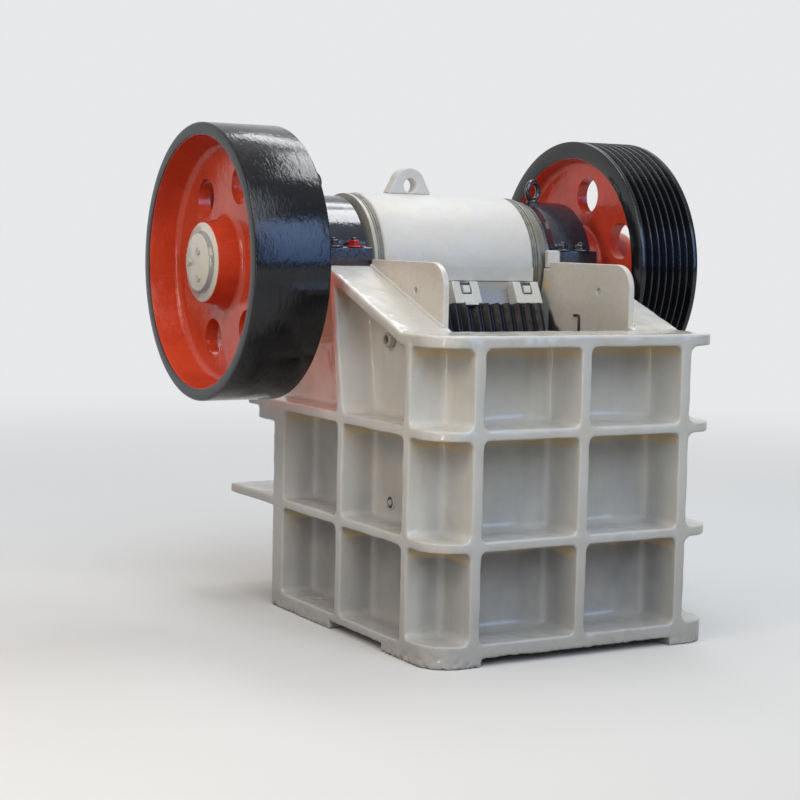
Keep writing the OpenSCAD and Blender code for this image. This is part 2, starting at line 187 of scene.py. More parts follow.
def box(x0, x1, y0, y1, z0, z1):
    return prism([(x0, y0), (x1, y0), (x1, y1), (x0, y1)], "z", z0, z1)


def rounded(points, radii, steps=5):
    """A polygon with its corners rounded. radii is one radius, or one for each corner."""
    count = len(points)
    if not hasattr(radii, "__len__"):
        radii = [radii] * count
    made = []
    for i in range(count):
        here = Vector(points[i])
        to_last = (Vector(points[i - 1]) - here).normalized()
        to_next = (Vector(points[(i + 1) % count]) - here).normalized()
        if radii[i] <= 0 or abs(to_last.dot(to_next)) > 0.9995:
            made.append(tuple(here))
            continue
        half = to_last.angle(to_next) / 2
        back = radii[i] / math.tan(half)
        centre = here + (to_last + to_next).normalized() * (radii[i] / math.sin(half))
        start = here + to_last * back - centre
        end = here + to_next * back - centre
        turn = start.angle_signed(end)
        for k in range(steps + 1):
            a = -turn * k / steps
            c, s = math.cos(a), math.sin(a)
            made.append((centre.x + start.x * c - start.y * s, centre.y + start.x * s + start.y * c))
    return made


def arc(cy, cz, r, start, end, steps):
    """Points on a circle, angles in degrees."""
    angles = [math.radians(start + (end - start) * k / steps) for k in range(steps + 1)]
    return [(cy + r * math.cos(a), cz + r * math.sin(a)) for a in angles]


def circle(cy, cz, r, count):
    return arc(cy, cz, r, 0, 360 - 360 / count, count - 1)


def pin(x0, x1, r, inner=0.0):
    """Profile of a round bar or ring, begun on its inside at x0."""
    return [(x0, inner), (x0, r), (x1, r), (x1, inner)]


def oblong(x0, x1, inner, r):
    """The corners of a rectangle, begun along its lower side."""
    return [(x0, inner), (x1, inner), (x1, r), (x0, r)]


def lathe(profile, count=96, centre=(SHAFT_Y, SHAFT_Z), closed=True):
    """Verts and faces of a profile, given as (x, radius), turned about a line along x."""
    rows = len(profile)
    verts = []
    for j in range(count):
        a = 2 * math.pi * j / count
        for x, r in profile:
            verts.append((x, centre[0] + r * math.cos(a), centre[1] + r * math.sin(a)))
    faces = []
    last = rows if closed else rows - 1
    for j in range(count):
        here, there = j * rows, (j + 1) % count * rows
        for i in range(last):
            k = (i + 1) % rows
            faces.append([here + i, here + k, there + k, there + i])
    return verts, faces


def placed(shape, origin, direction, turn=0.0):
    """Moves a shape drawn about the line y = z = 0, along x, to another origin and direction."""
    d = Vector(direction).normalized()
    side = Vector((0, 0, 1)) if abs(d.z) < 0.9 else Vector((0, 1, 0))
    b = side.cross(d).normalized()
    c = d.cross(b)
    spin = Matrix.Rotation(turn, 3, "X")
    basis = Matrix((d, b, c)).transposed()
    verts = [basis @ (spin @ Vector(v)) + Vector(origin) for v in shape[0]]
    return verts, shape[1]


def turned(profile, origin, direction, count=32, turn=0.0, closed=False):
    """A turned shape about any line, its profile given as (distance along, radius)."""
    return placed(lathe(profile, count, (0, 0), closed), origin, direction, turn)


def bolt_head(shape, origin, direction, size, height, sides=6, washer=True, turn=0.0):
    """Adds a bolt's head, size being its width over flats, with a washer under it when washer is set."""
    r = size / 2 / math.cos(math.pi / sides)
    sunk = 0.001
    base = 0.0
    if washer:
        base = 0.12 * size
        edge = size * 0.98
        shape.add(*turned([(-sunk, 0), (-sunk, edge), (base * 0.7, edge), (base, size * 0.92), (base, 0)],
                          origin, direction, 28))
    top = base + height
    shape.add(*turned([(base - sunk, 0), (base - sunk, r), (top - 0.10 * size, r), (top, r * 0.86), (top, 0)],
                      origin, direction, sides, turn))


def fillet(shape, p, q, a, b, r, steps=6):
    """Adds a concave fillet along the corner line p-q. a and b point away from it along the two faces."""
    p, q, a, b = Vector(p), Vector(q), Vector(a).normalized(), Vector(b).normalized()
    sunk = 0.003
    outline = [-(a + b) * sunk, a * r - b * sunk]
    centre = (a + b) * r
    for k in range(steps + 1):
        t = math.pi / 2 * k / steps
        outline.append(centre - a * r * math.sin(t) - b * r * math.cos(t))
    outline.append(b * r - a * sunk)
    shape.add(*drawn_out([p + v for v in outline], [q + v for v in outline]))


def bay(shape, low, high, closed, r_wall, r_side):
    """Fillets along every inner edge of a box-shaped bay.

    closed lists its faces, such as "+y", and the first is the wall."""
    sign = {"+": 1, "-": -1}
    for i, first in enumerate(closed):
        for second in closed[i + 1:]:
            u, v = "xyz".index(first[1]), "xyz".index(second[1])
            if u == v:
                continue
            w = 3 - u - v
            p, q, a, b = [0.0] * 3, [0.0] * 3, [0.0] * 3, [0.0] * 3
            for axis, face in ((u, first), (v, second)):
                p[axis] = q[axis] = (high if face[0] == "+" else low)[axis]
            p[w], q[w] = low[w], high[w]
            a[v] = -sign[second[0]]
            b[u] = -sign[first[0]]
            fillet(shape, p, q, a, b, r_wall if i == 0 else r_side)


def strand(rings):
    """Verts and faces of a bar through rings of points, closed at both ends."""
    around, last = len(rings[0]), len(rings) - 1
    faces = []
    for i in range(last):
        for j in range(around):
            k = (j + 1) % around
            faces.append([i * around + j, i * around + k, (i + 1) * around + k, (i + 1) * around + j])
    faces += [list(range(around))[::-1], [last * around + j for j in range(around)]]
    return [v for points in rings for v in points], faces


def tube(points, r, around=12):
    """Verts and faces of a round bar bent through points."""
    points = [Vector(p) for p in points]
    rings = []
    across = None
    for i, p in enumerate(points):
        ahead = (points[min(i + 1, len(points) - 1)] - points[max(i - 1, 0)]).normalized()
        if across is None:
            across = ahead.orthogonal().normalized()
        across = (across - ahead * across.dot(ahead)).normalized()
        other = ahead.cross(across)
        angles = [2 * math.pi * j / around for j in range(around)]
        rings.append([p + (across * math.cos(a) + other * math.sin(a)) * r for a in angles])
    return strand(rings)


def bent(corners, r, steps=6):
    """A path through corners, each rounded to radius r."""
    corners = [Vector(p) for p in corners]
    path = [corners[0]]
    for before, here, after in zip(corners, corners[1:], corners[2:]):
        start = here + (before - here).normalized() * r
        end = here + (after - here).normalized() * r
        for k in range(steps + 1):
            t = k / steps
            path.append(start.lerp(here, t).lerp(here.lerp(end, t), t))
    return path + [corners[-1]]


def chip_foot(obj, top, depth):
    """Makes the bottom of a casting ragged, as the sand mould left it."""
    vertices = obj.data.vertices
    floor = min(v.co.z for v in vertices)
    low = [(v.index, v.co.copy(), v.normal.copy()) for v in vertices if v.co.z < floor + top]
    for i, place, normal in low:
        share = 1 - (place.z - floor) / top
        push = noise.noise(place * 60.0) + 0.7 * noise.noise(place * 140.0)
        made = place - normal * max(0.0, push) * depth * share
        if made.z > floor + 0.010:
            made.z += (noise.noise(place * 95.0) + 0.7 * noise.noise(place * 190.0)) * depth * share
        vertices[i].co = made
    obj.data.update()


def reflect(shape):
    return [(-v[0], v[1], v[2]) for v in shape[0]], [face[::-1] for face in shape[1]]


def on_side(side, shape):
    """The shape as it is on the right, or reflected for the left."""
    return reflect(shape) if side < 0 else shape


def cast(name, nodes, extra, voxel, passes, keep, wobble=0.0, foot=None):
    """One casting from CAD nodes and extra solids: joined, its edges rounded over, its flat parts thinned.

    foot is the height and depth of the ragged bottom edge that the sand mould left."""
    bm = bmesh.new()
    for node in nodes:
        bm.from_mesh(NODES[node].data)
    if extra is not None:
        more = bpy.data.meshes.new("more")
        more.from_pydata(extra.verts, [], extra.faces)
        bm.from_mesh(more)
        bpy.data.meshes.remove(more)
        bmesh.ops.recalc_face_normals(bm, faces=bm.faces)
    mesh = bpy.data.meshes.new(name)
    bm.to_mesh(mesh)
    bm.free()
    obj = link(bpy.data.objects.new(name, mesh))
    remesh = obj.modifiers.new("remesh", "REMESH")
    remesh.mode = "VOXEL"
    remesh.voxel_size = voxel * 1.0
    smooth = obj.modifiers.new("smooth", "SMOOTH")
    smooth.factor = 0.5
    smooth.iterations = passes
    if wobble:
        texture = bpy.data.textures.new(name, "CLOUDS")
        texture.noise_scale = 0.075
        texture.noise_depth = 2
        displace = obj.modifiers.new("wobble", "DISPLACE")
        displace.texture = texture
        displace.texture_coords = "GLOBAL"
        displace.strength = wobble
        displace.mid_level = 0.62
    bake_modifiers(obj)
    if foot:
        chip_foot(obj, *foot)
    for v in obj.data.vertices:
        v.co.y = max(v.co.y, FRONT_FACE)
        v.co.z = max(v.co.z, 0.0)
    count = sum(len(p.vertices) - 2 for p in obj.data.polygons)
    if count > keep:
        thin = obj.modifiers.new("thin", "DECIMATE")
        thin.ratio = keep / count
        bake_modifiers(obj)
    for polygon in obj.data.polygons:
        polygon.use_smooth = True
    return obj


# Materials

class Graph:
    """A material's node tree, with short ways to add nodes."""

    def __init__(self, name, roughness=0.4, metallic=0.0):
        self.material = bpy.data.materials.new(name)
        self.material.use_nodes = True
        self.tree = self.material.node_tree
        self.shader = self.tree.nodes["Principled BSDF"]
        self.shader.inputs["Roughness"].default_value = roughness
        self.shader.inputs["Metallic"].default_value = metallic
        self.coords = self.tree.nodes.new("ShaderNodeTexCoord").outputs["Object"]

    def link(self, source, target):
        if hasattr(source, "is_linked"):
            self.tree.links.new(source, target)
        else:
            target.default_value = source

    def math(self, operation, *values):
        node = self.tree.nodes.new("ShaderNodeMath")
        node.operation = operation
        for i, value in enumerate(values):
            self.link(value, node.inputs[i])
        return node.outputs[0]

    def fold(self, operation, values):
        made = values[0]
        for value in values[1:]:
            made = self.math(operation, made, value)
        return made

    def times(self, *values):
        return self.fold("MULTIPLY", values)

    def plus(self, *values):
        return self.fold("ADD", values)

    def minus(self, *values):
        return self.fold("SUBTRACT", values)

    def most(self, *values):
        return self.fold("MAXIMUM", values)

    def least(self, *values):
        return self.fold("MINIMUM", values)

    def size(self, value):
        return self.math("ABSOLUTE", value)

    def length(self, a, b):
        return self.math("SQRT", self.plus(self.times(a, a), self.times(b, b)))

    def stretched(self, scale):
        node = self.tree.nodes.new("ShaderNodeMapping")
        node.inputs["Scale"].default_value = scale
        self.link(self.coords, node.inputs["Vector"])
        return node.outputs[0]

    def noise(self, scale, detail=4.0, roughness=0.5, distortion=0.0, source=None):
        node = self.tree.nodes.new("ShaderNodeTexNoise")
        node.inputs["Scale"].default_value = scale
        node.inputs["Detail"].default_value = detail
        node.inputs["Roughness"].default_value = roughness
        node.inputs["Distortion"].default_value = distortion
        self.link(source or self.coords, node.inputs["Vector"])
        return node.outputs["Fac"]

    def spread(self, value, low, high, to_low=0.0, to_high=1.0):
        node = self.tree.nodes.new("ShaderNodeMapRange")
        node.interpolation_type = "SMOOTHSTEP"
        self.link(value, node.inputs["Value"])
        for name, number in (("From Min", low), ("From Max", high), ("To Min", to_low), ("To Max", to_high)):
            node.inputs[name].default_value = number
        return node.outputs["Result"]

    def mix(self, factor, a, b):
        node = self.tree.nodes.new("ShaderNodeMix")
        node.data_type = "RGBA"
        for value, socket in ((factor, node.inputs[0]), (a, node.inputs[6]), (b, node.inputs[7])):
            self.link((*value, 1.0) if isinstance(value, tuple) else value, socket)
        return node.outputs[2]

    def geometry(self, name):
        return self.tree.nodes.new("ShaderNodeNewGeometry").outputs[name]

    def parts(self, vector):
        node = self.tree.nodes.new("ShaderNodeSeparateXYZ")
        self.link(vector, node.inputs[0])
        return node.outputs

    def vector(self, x, y, z):
        node = self.tree.nodes.new("ShaderNodeCombineXYZ")
        for i, value in enumerate((x, y, z)):
            self.link(value, node.inputs[i])
        return node.outputs[0]

    def place(self):
        """The point's x, y and z."""
        return self.parts(self.coords)[:3]

    def about_shaft(self):
        """The point's height over the shaft's line, and how far behind it the point is."""
        y, z = self.place()[1:]
        return self.minus(z, SHAFT_Z), self.minus(y, SHAFT_Y)

    def round_shaft(self, along, around):
        """Coordinates that run along and around the shaft's line, and outwards on a flat face."""
        angle = self.math("ARCTAN2", *self.about_shaft())
        return self.vector(self.times(self.plus(self.place()[0], self.from_shaft()), along),
                           self.times(self.math("SINE", angle), around),
                           self.times(self.math("COSINE", angle), around))

    def from_shaft(self):
        """Distance from the shaft's line."""
        return self.length(*self.about_shaft())

    def color(self, value):
        self.link(value, self.shader.inputs["Base Color"])

    def rough(self, value):
        self.link(value, self.shader.inputs["Roughness"])

    def bump(self, *layers):
        """Each layer is (height, distance in metres)."""
        normal = None
        for height, distance in layers:
            node = self.tree.nodes.new("ShaderNodeBump")
            node.inputs["Strength"].default_value = 1.0
            node.inputs["Distance"].default_value = distance
            self.link(height, node.inputs["Height"])
            if normal is not None:
                self.link(normal, node.inputs["Normal"])
            normal = node.outputs[0]
        self.link(normal, self.shader.inputs["Normal"])


def tinted(colour, factors):
    return tuple(min(1.0, c * f) for c, f in zip(colour, factors))


def cream_paint(name, base=(0.640, 0.638, 0.600), dust=0.4, grime_and_shade=0.6, gloss=0.08, runs=0.20, uneven=1.0,
                marks=()):
    """Thick cream gloss enamel brushed on a rough casting, dusty where it faces up, and darker in its hollows
    as grime and painted shade.

    Each mark is (place, colour)."""
    g = Graph(name, roughness=0.15)
    z = g.place()[2]
    up = g.parts(g.geometry("Normal"))[2]
    patches = g.spread(g.noise(5.0, 3), 0.36, 0.66)
    paint = g.mix(patches, tinted(base, (1.0, 1.01, 1.035)), tinted(base, (0.99, 0.975, 0.94)))
    run = g.spread(g.noise(1.0, 4, 0.55, source=g.stretched((34.0, 34.0, 5.0))), 0.52, 0.74)
    paint = g.mix(g.times(run, runs), paint, tinted(base, (0.86, 0.82, 0.72)))
    # Grime and painted shade: concave places, found by Pointiness, are darkened towards a brown grey.
    hollow = g.spread(g.geometry("Pointiness"), 0.495, 0.43)
    paint = g.mix(g.times(hollow, 0.28 * grime_and_shade), paint, (0.40, 0.36, 0.28))
    for place, colour in marks:
        paint = g.mix(place(g), paint, colour)
    lying = g.times(g.spread(up, 0.60, 0.97), g.spread(g.noise(9, 4, 0.55), 0.34, 0.70, 0.15, 0.50))
    low = g.times(g.spread(z, 0.16, 0.01), g.spread(g.noise(30, 5, 0.65), 0.48, 0.72), 1.3)
    dirt = g.times(g.most(g.times(lying, g.spread(z, 1.05, 0.80, 0.1, 1.0)), low), dust)
    paint = g.mix(dirt, paint, (0.33, 0.31, 0.28))
    specks = g.spread(g.noise(120, 2, 0.5), 0.745, 0.78)
    g.color(g.mix(g.times(specks, 0.45), paint, (0.22, 0.17, 0.12)))
    g.rough(g.plus(g.spread(g.noise(22, 4), 0.3, 0.7, gloss, gloss + 0.11 * uneven), g.times(dirt, 0.4)))
    g.bump((g.noise(9, 2), 0.0045 * uneven), (g.noise(42, 3), 0.0010 * uneven), (g.noise(260, 2), 0.00015))
    return g.material


def shade_in_bays(g):
    """Painted shade: the recessed walls are darkened to a cool grey, more so towards the floor."""
    x, y, z = g.place()
    beside = g.spread(g.size(x), HALF_W - 0.030, WALL_OUT + 0.040)
    behind = g.spread(y, FRONT_FACE + 0.030, FRONT_WALL - 0.050)
    patches = g.spread(g.noise(7, 3, 0.5), 0.30, 0.70, 0.22, 0.40)
    lower = g.spread(z, 0.88, 0.12, 0.10, 1.8)
    return g.times(g.least(beside, behind), g.spread(z, 1.00, 0.90), g.times(patches, lower))


def near_floor(g):
    """A thin grey film that grows towards the floor."""
    return g.spread(g.plus(g.place()[2], g.times(g.noise(6, 3, 0.5), 0.10)), 0.66, 0.08, 0.0, 0.55)


def ragged(g, value, scale, reach):
    """A value with a noise of that reach on it, so that an edge drawn from it isn't straight."""
    return g.plus(value, g.times(g.minus(g.noise(scale, 4, 0.6), 0.5), reach))


def under_ledges(g):
    """Where the brush didn't reach: the ceilings of the bays and the wall just below them, in tan primer. Its
    tan is also made pale, painted light against the shade up there.
    """
    x, y, z = g.place()
    height = ragged(g, z, 12, 0.035)
    back = g.least(g.most(g.minus(y, SLOPE_START), 0.0), SEAT_START - SLOPE_START)
    flange = g.plus(g.times(back, FLANGE_RISE), FRAME_H - FLANGE_T)
    band = 0.0
    for ceiling in (LOWER_LEDGE - LEDGE_T, UPPER_LEDGE - LEDGE_T, flange):
        near = g.times(g.spread(g.minus(height, ceiling), -0.044, -0.028),
                       g.spread(g.minus(z, ceiling), 0.012, 0.004))
        band = g.most(near, band)
    inside = g.times(g.spread(g.size(x), HALF_W - 0.008, HALF_W - 0.020),
                     g.spread(y, FRONT_FACE + 0.008, FRONT_FACE + 0.020))
    return g.times(band, inside, 0.90)


def shade_in_wedge_slots(g):
    """Painted shade: the floors and sides of the slots that the wedges' bolts sit in are painted near-black.
    """
    x, y, z = g.place()
    out = g.minus(g.plus(g.times(y, FACE_OUT.y), g.times(z, FACE_OUT.z)), PLATE_TOP.dot(FACE_OUT))
    half = WEDGE_PITCH / 2
    across = g.size(g.minus(g.math("MODULO", g.plus(x, 40 * WEDGE_PITCH + half), WEDGE_PITCH), half))
    return g.times(g.spread(out, 0.042, 0.036), g.spread(across, 0.0235, 0.0220))


def shadow_beside_jaw(g):
    """Painted shadow: a near-black patch on the feed plates' inner faces beside the swing jaw."""
    x, y, z = g.place()
    edge = g.plus(g.times(z, 0.95), 0.666 - MID_Y - 0.95 * 0.992)
    behind = g.spread(g.minus(ragged(g, y, 25, 0.05), edge), -0.010, 0.014)
    inner = g.spread(g.size(x), WALL_IN + 0.006, WALL_IN + 0.002)
    return g.times(behind, inner, g.spread(z, 1.100, 1.060, 0.0, 0.92))


def right_end(g):
    return g.spread(g.place()[0], 0.28, 0.30)


def upper_body(g):
    """The body's top, painted with the barrel."""
    return g.spread(g.place()[2], 1.143, 1.146)


def shade_in_hub_groove(g):
    """Painted shade: the step between a hub's ring and the cover in it is darkened to a cool grey."""
    r = g.from_shaft()
    return g.times(g.spread(r, 0.0945, 0.0970), g.spread(r, 0.106, 0.102), 0.75)


def black_enamel(name, streaks=1.0, sheen_lift=1.0, ior=1.5, specular=0.5):
    """Black gloss enamel put on with a brush round a turned surface. sheen_lift makes its colour paler, as
    painted sheen.
    """
    g = Graph(name, roughness=0.14)
    g.shader.inputs["IOR"].default_value = ior
    g.shader.inputs["Specular IOR Level"].default_value = specular
    up = g.parts(g.geometry("Normal"))[2]
    brushed = g.noise(1.0, 4, 0.6, 0.8, source=g.round_shaft(120.0, 20.0))
    ripple = g.noise(1.0, 3, 0.5, 1.0, source=g.round_shaft(40.0, 9.0))
    patches = g.spread(g.noise(6, 4, 0.6), 0.4, 0.65)
    sheen_lifts = (sheen_lift, sheen_lift, sheen_lift)
    paint = g.mix(patches, tinted((0.0058, 0.0062, 0.0092), sheen_lifts), tinted((0.0100, 0.0105, 0.0135), sheen_lifts))
    dust = g.times(g.spread(up, 0.3, 1.0), g.spread(g.noise(34, 6, 0.7), 0.45, 0.75, 0.0, 0.10))
    paint = g.mix(dust, paint, (0.20, 0.19, 0.17))
    edge = g.spread(g.geometry("Pointiness"), 0.54, 0.61)
    g.color(g.mix(g.times(edge, 0.22), paint, (0.10, 0.10, 0.11)))
    g.rough(g.plus(g.spread(brushed, 0.38, 0.68, 0.05, 0.17), dust))
    g.bump((ripple, 0.0011 * streaks), (brushed, 0.0005 * streaks), (g.noise(240, 2), 0.0001))
    return g.material


def wheel_paint(name, base, deep):
    """Orange-red enamel of the wheels' webs, darker where it is thin, and darker in its hollows as painted
    shade.
    """
    g = Graph(name, roughness=0.2)
    paint = g.mix(g.spread(g.noise(5, 4, 0.6), 0.36, 0.68), base, deep)
    streak = g.spread(g.noise(1.0, 4, 0.6, source=g.round_shaft(8.0, 30.0)), 0.5, 0.75)
    paint = g.mix(g.times(streak, 0.25), paint, tuple(min(1.0, c * 1.25 + 0.01) for c in base))
    # Painted shade: concave places, found by Pointiness, get a much darker copy of the paint.
    hollow = g.spread(g.geometry("Pointiness"), 0.495, 0.44)
    paint = g.mix(g.times(hollow, 0.4), paint, tinted(deep, (0.35, 0.35, 0.35)))
    g.color(g.mix(g.spread(g.noise(45, 6, 0.7), 0.62, 0.80, 0.0, 0.30), paint, (0.16, 0.07, 0.05)))
    g.rough(g.spread(g.noise(25, 4), 0.3, 0.7, 0.12, 0.28))
    g.bump((g.noise(14, 3), 0.0032), (g.noise(70, 4), 0.0006), (g.noise(300, 2), 0.00015))
    return g.material


def jaw_steel(name):
    """Black-painted manganese steel, its raised edges rubbed grey."""
    g = Graph(name, roughness=0.32)
    g.shader.inputs["Specular IOR Level"].default_value = 0.25
    patches = g.spread(g.noise(18, 5, 0.65), 0.4, 0.7)
    paint = g.mix(patches, (0.004, 0.005, 0.010), (0.009, 0.010, 0.017))
    edge = g.spread(g.geometry("Pointiness"), 0.56, 0.64)
    rub = g.times(edge, g.spread(g.noise(55, 5, 0.6), 0.3, 0.6, 0.45, 1.0))
    g.color(g.mix(rub, paint, (0.10, 0.10, 0.11)))
    g.rough(g.spread(g.noise(40, 4), 0.3, 0.7, 0.26, 0.40))
    g.bump((g.noise(30, 4), 0.0012), (g.noise(160, 4), 0.0004))
    return g.material


def bare_steel(name, base, roughness=0.35, rust=0.3, metallic=0.9):
    """Machined or forged steel with a little rust in patches."""
    g = Graph(name, roughness=roughness, metallic=metallic)
    paint = g.mix(g.spread(g.noise(26, 5, 0.6), 0.35, 0.7), base, tinted(base, (0.62, 0.62, 0.62)))
    red = g.spread(g.noise(17, 7, 0.7), 0.60 - 0.18 * rust, 0.80 - 0.1 * rust)
    g.color(g.mix(red, paint, (0.16, 0.065, 0.03)))
    uneven = g.spread(g.noise(60, 4), 0.3, 0.7, roughness - 0.08, roughness + 0.12)
    g.rough(g.plus(uneven, g.times(red, 0.35)))
    g.bump((g.noise(90, 4), 0.0006), (g.noise(400, 3), 0.00015))
    return g.material


WEDGE_PITCH = 0.250
LEAN = math.radians(19.5)
FACE_OUT = Vector((0, -math.cos(LEAN), math.sin(LEAN)))
FACE_UP = Vector((0, math.sin(LEAN), math.cos(LEAN)))
PLATE_TOP = Vector((0, 0.7541 - MID_Y, 1.0623))

CREAM_CAST = cream_paint("cream_enamel_cast", base=(0.685, 0.675, 0.635),
                         marks=[(shade_in_bays, (0.25, 0.27, 0.31)), (near_floor, (0.36, 0.35, 0.335)),
                                (under_ledges, (0.80, 0.65, 0.42))])
CREAM_CLEAN = cream_paint("cream_enamel_clean", base=(0.645, 0.64, 0.615), dust=0.15, grime_and_shade=0.4, gloss=0.42)
# Painted warm light: the feed plates' cream is tinted warmer than the other creams, for the warm glow that
# falls on them.
CREAM_FEED = cream_paint("cream_enamel_feed", base=(0.65, 0.62, 0.57), dust=0.15, grime_and_shade=0.4, gloss=0.26,
                         runs=0.06, uneven=0.3, marks=[(shadow_beside_jaw, (0.02, 0.02, 0.025))])
CREAM_SEAL = cream_paint("cream_enamel_seal", base=(0.50, 0.495, 0.43), dust=0.4, grime_and_shade=1.0, gloss=0.26,
                         marks=[(right_end, (0.20, 0.19, 0.16))])
CREAM_GREY = cream_paint("cream_enamel_grey", base=(0.50, 0.495, 0.43), dust=0.4, grime_and_shade=1.0, gloss=0.22)
# Painted shade: the pitman body's cream is darkened to a cool grey, save its top, which upper_body paints
# like the barrel.
CREAM_SHADED = cream_paint("cream_enamel_shaded", base=(0.30, 0.315, 0.34), dust=0.4, grime_and_shade=1.0, gloss=0.30,
                         marks=[(upper_body, (0.60, 0.60, 0.58))])
CREAM_HUB = cream_paint("cream_enamel_hub", base=(0.76, 0.72, 0.63), marks=[(shade_in_hub_groove, (0.20, 0.21, 0.24))])
CREAM_WEDGE = cream_paint("cream_enamel_wedge", base=(0.60, 0.61, 0.59),
                          marks=[(shade_in_wedge_slots, (0.035, 0.035, 0.04))])
RED_MARK = wheel_paint("red_marking_paint", (0.50, 0.02, 0.02), (0.36, 0.015, 0.015))
BLACK = black_enamel("black_enamel", specular=0.42)
BLACK_GROOVED = black_enamel("black_enamel_grooved", streaks=0.45)
# Painted sheen: this black is lifted three times paler.
BLACK_SMOOTH = black_enamel("black_enamel_smooth", streaks=0.45, sheen_lift=3.0, ior=1.75)
ORANGE = wheel_paint("orange_enamel", (0.69, 0.078, 0.029), (0.56, 0.054, 0.020))
RED = wheel_paint("red_enamel", (0.82, 0.090, 0.046), (0.64, 0.064, 0.036))
JAW = jaw_steel("jaw_steel")
STEEL = bare_steel("machined_steel", (0.42, 0.42, 0.43))
FORGED = bare_steel("forged_steel", (0.14, 0.13, 0.13), roughness=0.5, rust=0.9, metallic=0.7)
SPRING = bare_steel("spring_steel", (0.10, 0.10, 0.11), roughness=0.4, rust=0.5, metallic=0.8)
RING_STEEL = bare_steel("seal_ring_steel", (0.25, 0.24, 0.20), roughness=0.46, rust=0.35, metallic=0.30)


def dress(obj, material, body, slot, *nodes):
    """Gives a piece its material and its body, and hides the CAD nodes that it stands for. Its slot is not
    used.
    """
    obj.data.materials.clear()
    obj.data.materials.append(material)
    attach(obj, body)
    if nodes:
        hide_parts(*nodes)
    return obj


# Frame casting

def frame_fillets():
    """Every inner corner of the ribbed frame, with a moulder's radius."""
    r_wall, r_side = 0.026, 0.020
    rows = [(0.072, LOWER_LEDGE - LEDGE_T), (LOWER_LEDGE, UPPER_LEDGE - LEDGE_T),
            (UPPER_LEDGE, FRAME_H - FLANGE_T)]
    corner_walls = ["-x", "+y", "-z", "+z"]
    side_walls = ["-x", "-y", "+y", "-z", "+z"]
    one = Solids()
    for low, high in rows:
        bay(one, (RIB_HALF, FRONT_FACE, low), (COLUMN_IN, FRONT_WALL, high), ["+y", "-x", "+x", "-z", "+z"],
            r_wall, r_side)
        bay(one, (WALL_OUT, FRONT_FACE, low), (HALF_W, FRONT_WALL, high), corner_walls, r_wall, r_side)
    for low, high in [(0.057, rows[0][1]), rows[1]]:
        for start, end in ((CORNER_RIB_BACK, MID_RIB - RIB_HALF), (MID_RIB + RIB_HALF, REAR_WALL)):
            bay(one, (WALL_OUT, start, low), (HALF_W, end, high), side_walls, r_wall, r_side)
    ledge = UPPER_LEDGE
    slope = Vector((0, SEAT_START - SLOPE_START, SHAFT_Z - FRAME_H)).normalized()
    lean_top = MID_RIB + RIB_LEAN
    top_z = FRAME_H - FLANGE_T + FLANGE_RISE * (lean_top - SLOPE_START)
    lean = Vector((0, RIB_LEAN, top_z - ledge)).normalized()
    down = Vector((0, slope.z, -slope.y))
    foot = Vector((WALL_OUT, MID_RIB, ledge))
    head = Vector((WALL_OUT, lean_top, top_z))
    wide = Vector((HALF_W - WALL_OUT, 0, 0))
    for side in (-1, 1):
        shift = Vector((0, side * RIB_HALF, 0))
        away = Vector((0, side * lean.z, -side * lean.y))
        fillet(one, foot + shift, head + shift, (1, 0, 0), away, r_wall)
        fillet(one, foot + shift, foot + shift + wide, (0, side, 0), (0, 0, 1), r_side)
    start = Vector((WALL_OUT, SLOPE_START, FRAME_H - FLANGE_T))
    end = Vector((WALL_OUT, SEAT_START, SHAFT_Z - FLANGE_T))
    fillet(one, start, end, (1, 0, 0), down, r_wall)
    corner = (WALL_OUT, CORNER_RIB_BACK, ledge)
    fillet(one, corner, (WALL_OUT, CORNER_RIB_BACK, FRAME_H - FLANGE_T), (1, 0, 0), (0, 1, 0), r_wall)
    fillet(one, corner, (WALL_OUT, SEAT_END, ledge), (1, 0, 0), (0, 0, 1), r_wall)
    fillet(one, corner, (HALF_W, CORNER_RIB_BACK, ledge), (0, 1, 0), (0, 0, 1), r_side)
    seat_foot = SHAFT_Z - FLANGE_T
    fillet(one, (WALL_OUT, SEAT_START, seat_foot), (WALL_OUT, SEAT_END, seat_foot), (1, 0, 0), (0, 0, -1),
           r_wall)
    both = Solids(reflect((one.verts, one.faces)), (one.verts, one.faces))
    for z, up in ((LOWER_LEDGE, 1), (LOWER_LEDGE - LEDGE_T, -1), (BEAM_FOOT, -1), (UPPER_LEDGE, 1)):
        fillet(both, (-WALL_OUT, REAR_FACE, z), (WALL_OUT, REAR_FACE, z), (0, 1, 0), (0, 0, up), r_wall)
    for x0, x1 in ((-WALL_OUT, WALL_OUT), (-HALF_W, -WALL_OUT), (HALF_W, WALL_OUT)):
        fillet(both, (x0, BEAM_REAR, SHELF_FOOT), (x1, BEAM_REAR, SHELF_FOOT), (0, 1, 0), (0, 0, -1), 0.015)
    return both


FRAME_NODES = ["front_wall", "side_wall_left", "side_wall_right", "rear_wall", "front_ribs", "corner_ribs",
               "side_ribs", "base_flange_front", "base_flange_sides", "lower_ledge_front",
               "lower_ledge_sides", "rear_shelf", "rear_beam", "upper_ledge_front", "upper_ledge_sides",
               "top_flange_front", "top_flange_left", "top_flange_right", "bearing_saddles"]
casting = cast("frame_casting", FRAME_NODES, frame_fillets(), 0.0047, 5, 190000, wobble=0.0045,
               foot=(0.050, 0.0065))
dress(casting, CREAM_CAST, "frame", "cream_paint", *FRAME_NODES)

# Feed plates, jaws, bearings

def solid(name, shape, material, body, slot, *nodes, edge=0.003, cutters=(), segments=3):
    """A piece from closed shapes, with its cuts made and its edges rounded over."""
    verts, faces = (shape.verts, shape.faces) if isinstance(shape, Solids) else shape
    obj = make_object(name, verts, faces)
    if cutters:
        cut(obj, [make_object(f"{name}_cutter", *cutter) for cutter in cutters])
    if edge:
        bevel(obj, edge, segments)
    return dress(obj, material, body, slot, *nodes)


def flange_top(y):
    return FRAME_H + FLANGE_RISE * max(0.0, y - SLOPE_START)


